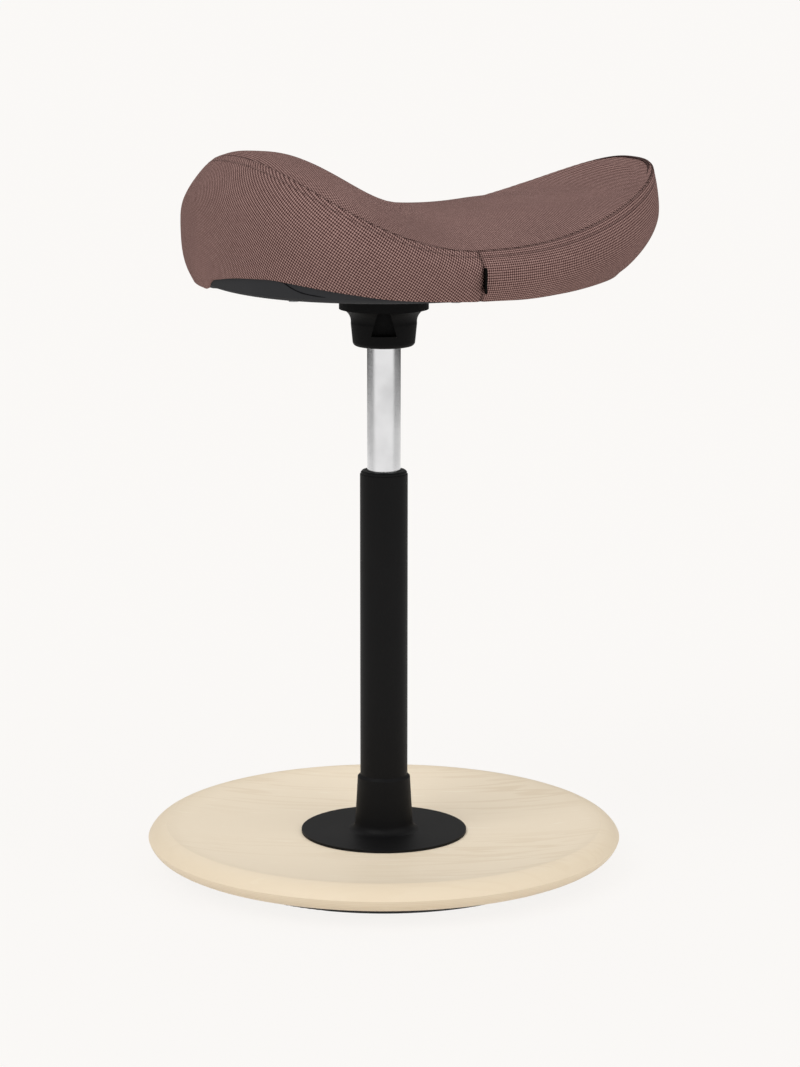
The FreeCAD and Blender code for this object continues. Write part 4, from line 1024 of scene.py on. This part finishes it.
# The lining under the seat: a wall inside the hem, then the underside out to its hole round the
# boss, with one lapped crease. The wall's inset dies out over the underside's first rings.
PAN_ROUND, PAN_RINGS, PAN_CROWDING = 360, 64, 1.3
WALL_ROWS, WALL_ABOVE = 14, 0.06
WALL_INSET, INSET_RINGS = 1.5, 6
PAN_THICK = 0.0012
PAN_HOLE = 38.0
CREASE = np.array([
    (-138.7, -97.5, 513.5), (-134.8, -105.0, 512.0), (-130.7, -110.5, 508.4),
    (-124.9, -117.6, 505.0), (-118.1, -125.4, 503.3), (-111.0, -132.5, 502.3)])
CREASE_SIDE = np.array([-0.6, -0.1, -0.8])
CREASE_STEP, CREASE_WIDTH, CREASE_FADE = 0.5, 0.7, 12.0
CREASE_STEEPNESS = 4 / CREASE_WIDTH
CREASE_FLAT = 50


def crease_step(points):
    """The lap's height at each point: it steps up across the crease and fades away behind it."""
    spots = points[..., None, :]
    start = CREASE[:-1]
    run = CREASE[1:] - start
    part = np.clip(((spots - start) * run).sum(-1) / (run ** 2).sum(-1), 0, 1)
    off = spots - (start + part[..., None] * run)
    away = np.linalg.norm(off, axis=-1)
    nearest = away.argmin(-1)[..., None]
    near = np.take_along_axis(away, nearest, -1)[..., 0]
    side = np.take_along_axis((off * CREASE_SIDE).sum(-1), nearest, -1)[..., 0]
    signed = np.copysign(near, side)
    step = 1 / (1 + np.exp(-np.clip(signed * CREASE_STEEPNESS, -CREASE_FLAT, CREASE_FLAT)))
    return CREASE_STEP * step * np.exp(-np.maximum(signed, 0) / CREASE_FADE)


def lining():
    t = np.linspace(0, 2 * math.pi, PAN_ROUND, endpoint=False)
    start, stop = hem_share(t) - WALL_ABOVE, rim_share(t)
    wall = [band(t, start + (stop - start) * part) for part in np.linspace(0, 1, WALL_ROWS)]
    foot = pan(t, 0.0)
    hole = 1 - PAN_HOLE / np.hypot(foot[..., 0], foot[..., 1])
    shares = np.linspace(0, 1, PAN_RINGS)[1:] ** PAN_CROWDING
    points = np.array(wall + [pan(t, share * hole) for share in shares])
    inset = np.concatenate([np.full(WALL_ROWS, 1.0),
                            np.clip(1 - np.arange(1, PAN_RINGS) / INSET_RINGS, 0, 1)])
    lift = crease_step(points) - WALL_INSET * inset[:, None]
    points = points + normals(points, True) * lift[..., None]
    faces = grid_faces(len(points), PAN_ROUND, True)
    thing = new_object("seat_lining", points, faces, stuff=FINISHES["grey_lining"])
    return thick(thing, PAN_THICK)


# A thin dark cord along the lining's crease as painted shadow: its radius, sides and steps, its
# inset from the crease in millimetres, and how its ends taper.
CORD_RADIUS, CORD_SIDES, CORD_STEPS = 0.5, 8, 60
CORD_INSET = 1.3
CORD_END, CORD_TAPER = 0.06, 0.3


def painted_crease_shadow():
    """A thin dark cord along the lining's crease: painted shadow of the lapped crease."""
    places = np.arange(len(CREASE))
    fine = np.linspace(0, len(CREASE) - 1, CORD_STEPS)
    tables = [with_slopes(np.column_stack([places, CREASE[:, axis]])) for axis in range(3)]
    line = np.column_stack([hermite(table, fine) for table in tables])
    line[:, :2] *= 1 - CORD_INSET / np.hypot(line[:, 0], line[:, 1])[:, None]
    ahead = unit(np.gradient(line, axis=0))
    across = unit(np.cross(ahead, unit(CREASE_SIDE)))
    up = np.cross(across, ahead)
    taper = np.sin(np.linspace(CORD_END, math.pi - CORD_END, CORD_STEPS))[:, None] ** CORD_TAPER
    turns = np.arange(CORD_SIDES) * 2 * math.pi / CORD_SIDES
    points = np.stack([line + CORD_RADIUS * taper * (across * math.cos(turn) + up * math.sin(turn))
                       for turn in turns], 1)
    faces = grid_faces(CORD_STEPS, CORD_SIDES, True)
    last = (CORD_STEPS - 1) * CORD_SIDES
    faces.append(tuple(reversed(range(CORD_SIDES))))
    faces.append(tuple(last + step for step in range(CORD_SIDES)))
    made, _, shader = new_material("crease_shadow_cord", Roughness=1.0, Specular_IOR_Level=0.05)
    shader.inputs["Base Color"].default_value = CREASE_SHADOW_COLOUR
    return new_object("crease_shadow_cord", points, faces, stuff=made)


# The bare tag: a folded tape held in the side seam, pinched at its root and leaning back.
TAG_OUT, TAG_HALF, TAG_LOW, TAG_HIGH = 6.0, 0.45, 502.6, 522.5
TAG_ROOT, TAG_PINCH, TAG_DOWN = 3.0, 0.5, 0.5
TAG_BEND, TAG_ROWS, TAG_THICK = 9, 12, 0.00035
TAG_LEAN = math.radians(18)


def side_tag():
    root = band(np.array([SIDE_SEAM]), np.array([TAG_DOWN]))[0]
    turns = np.linspace(-math.pi / 2, math.pi / 2, TAG_BEND)
    pinched = TAG_HALF * TAG_PINCH
    bend = [(TAG_OUT - TAG_HALF + TAG_HALF * math.cos(turn), TAG_HALF * math.sin(turn))
            for turn in turns]
    loop = [(-TAG_ROOT, -pinched)] + bend + [(-TAG_ROOT, pinched)]
    points, flat = [], []
    for high in np.linspace(TAG_LOW, TAG_HIGH, TAG_ROWS):
        far = 0
        for index, (out, side) in enumerate(loop):
            u = root[0] + side * math.cos(TAG_LEAN) - out * math.sin(TAG_LEAN)
            v = -(abs(root[1]) + out * math.cos(TAG_LEAN) + side * math.sin(TAG_LEAN))
            far += 0 if index == 0 else math.dist(loop[index - 1], loop[index])
            points.append((u, v, high))
            flat.append((far, high))
    faces = grid_faces(TAG_ROWS, len(loop), False)
    return thick(new_object("side_tag", points, faces, flat, FINISHES["tag_black"]), TAG_THICK)


def seat():
    """The cushion, its sewn cover, its lining and its tag."""
    cushion = Cushion()
    cover_top = top_panel(cushion)
    front, front_points = band_panel("cover_front", -SIDE_SEAM, SIDE_SEAM, FRONT_COLUMNS,
                                     cushion, level=False, stuff=FINISHES["weave"])
    rear, rear_points = band_panel("cover_rear", SIDE_SEAM, 2 * math.pi - SIDE_SEAM,
                                   REAR_COLUMNS, cushion, level=True, stuff=REAR_CLOTH)
    # The painted shadow along the lining's crease.
    crease_shadow = painted_crease_shadow()
    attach(crease_shadow, "seat")
    tree = stitch_tree()
    for name, points in (("front_topstitch", front_points), ("rear_topstitch", rear_points)):
        outward = normals(points, False)
        line = row_at(points + outward * STITCH_LIFT, STITCH_DOWN)
        stitches = stitch_line(name, tree, line)
        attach(stitches, "seat")
    for thing, node, slot in (
            (cushion.thing, "seat_foam", "foam"), (cover_top, "cover_top_panel", "weave"),
            (front, "cover_front_panel", "weave"), (rear, "cover_rear_panel", "weave"),
            (lining(), "under_cover", "grey_lining"), (side_tag(), "seam_tag", "tag_black")):
        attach(thing, "seat")
        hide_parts(node)


# Studio: a pale floor that keeps the stool's soft shadow, an even sky and broad soft lamps.
# Shiny surfaces see the floor as a lit sheet, which fades out between two distances from the
# stool and comes back in front of it, in metres.
FLOOR_HALF = 60.0
SKY_LIGHT, SKY_SHINE = 0.56, 0.32
GLOW_SHARE = 0.92
SHEET_NEAR, SHEET_FAR = 2.0, 3.2
SHEET_AHEAD = (0.6, 1.6)
SHEET_DARK = 0.03
LAMPS = (
    # name, azimuth and elevation in degrees, strength, spread in degrees
    ("key", -70, 48, 1.10, 40),
    ("fill", 30, 40, 0.75, 60),
    ("back", 160, 55, 0.40, 60),
)


def sky():
    """An even sky: the backdrop to the camera, and dimmer to shiny and lit surfaces."""
    world = bpy.data.worlds.new("studio")
    scene.world = world
    world.use_nodes = True
    net = Net(world.node_tree)
    backdrop = world.node_tree.nodes["Background"]
    backdrop.inputs["Color"].default_value = BACKDROP
    path = net.node("ShaderNodeLightPath").outputs
    shine = net.math("MULTIPLY_ADD", path["Is Glossy Ray"], SKY_SHINE - SKY_LIGHT, SKY_LIGHT)
    strength = net.math("MULTIPLY_ADD", path["Is Camera Ray"],
                        net.math("SUBTRACT", 1.0, shine), shine)
    net.put(backdrop.inputs["Strength"], strength)


def floor_paint():
    """Pale paper that keeps a soft shadow; shiny surfaces see its lit sheet end to the sides."""
    made = bpy.data.materials.new("pale_floor")
    made.use_nodes = True
    net = Net(made.node_tree)
    made.node_tree.nodes.remove(made.node_tree.nodes["Principled BSDF"])
    across, along, _ = net.split(place_of(net))
    far = net.hypot(across, along)
    ahead = net.math("ADD", net.math("MULTIPLY", across, math.sin(CAMERA_TURN)),
                     net.math("MULTIPLY", along, -math.cos(CAMERA_TURN)))
    sheet = net.math("MAXIMUM", net.ramp(far, SHEET_NEAR, SHEET_FAR, 1.0, SHEET_DARK),
                     net.ramp(ahead, *SHEET_AHEAD, SHEET_DARK, 1.0))
    paint = net.out("ShaderNodeBsdfDiffuse", {"Color": BACKDROP})
    glow = net.out("ShaderNodeEmission", {"Color": BACKDROP})
    shine = net.out("ShaderNodeEmission", {"Color": BACKDROP, "Strength": sheet})
    path = net.node("ShaderNodeLightPath").outputs
    share = net.math("MULTIPLY", path["Is Camera Ray"], GLOW_SHARE)
    lit = net.out("ShaderNodeMixShader", {0: share, 1: paint, 2: glow})
    mixed = net.out("ShaderNodeMixShader", {0: path["Is Glossy Ray"], 1: lit, 2: shine})
    net.put(made.node_tree.nodes["Material Output"].inputs["Surface"], mixed)
    return made


def studio():
    sky()
    corners = np.array([(-1, -1, 0), (1, -1, 0), (1, 1, 0), (-1, 1, 0)]) * FLOOR_HALF / MM
    new_object("floor", corners, [(0, 1, 2, 3)], stuff=floor_paint())
    for name, azimuth, elevation, strength, spread in LAMPS:
        data = bpy.data.lights.new(name, "SUN")
        data.energy = strength
        data.angle = math.radians(spread)
        lamp = linked(name, data)
        lamp.rotation_euler = (math.radians(90 - elevation), 0, math.radians(azimuth))


make_camera()
dress_frame()
seat()
studio()
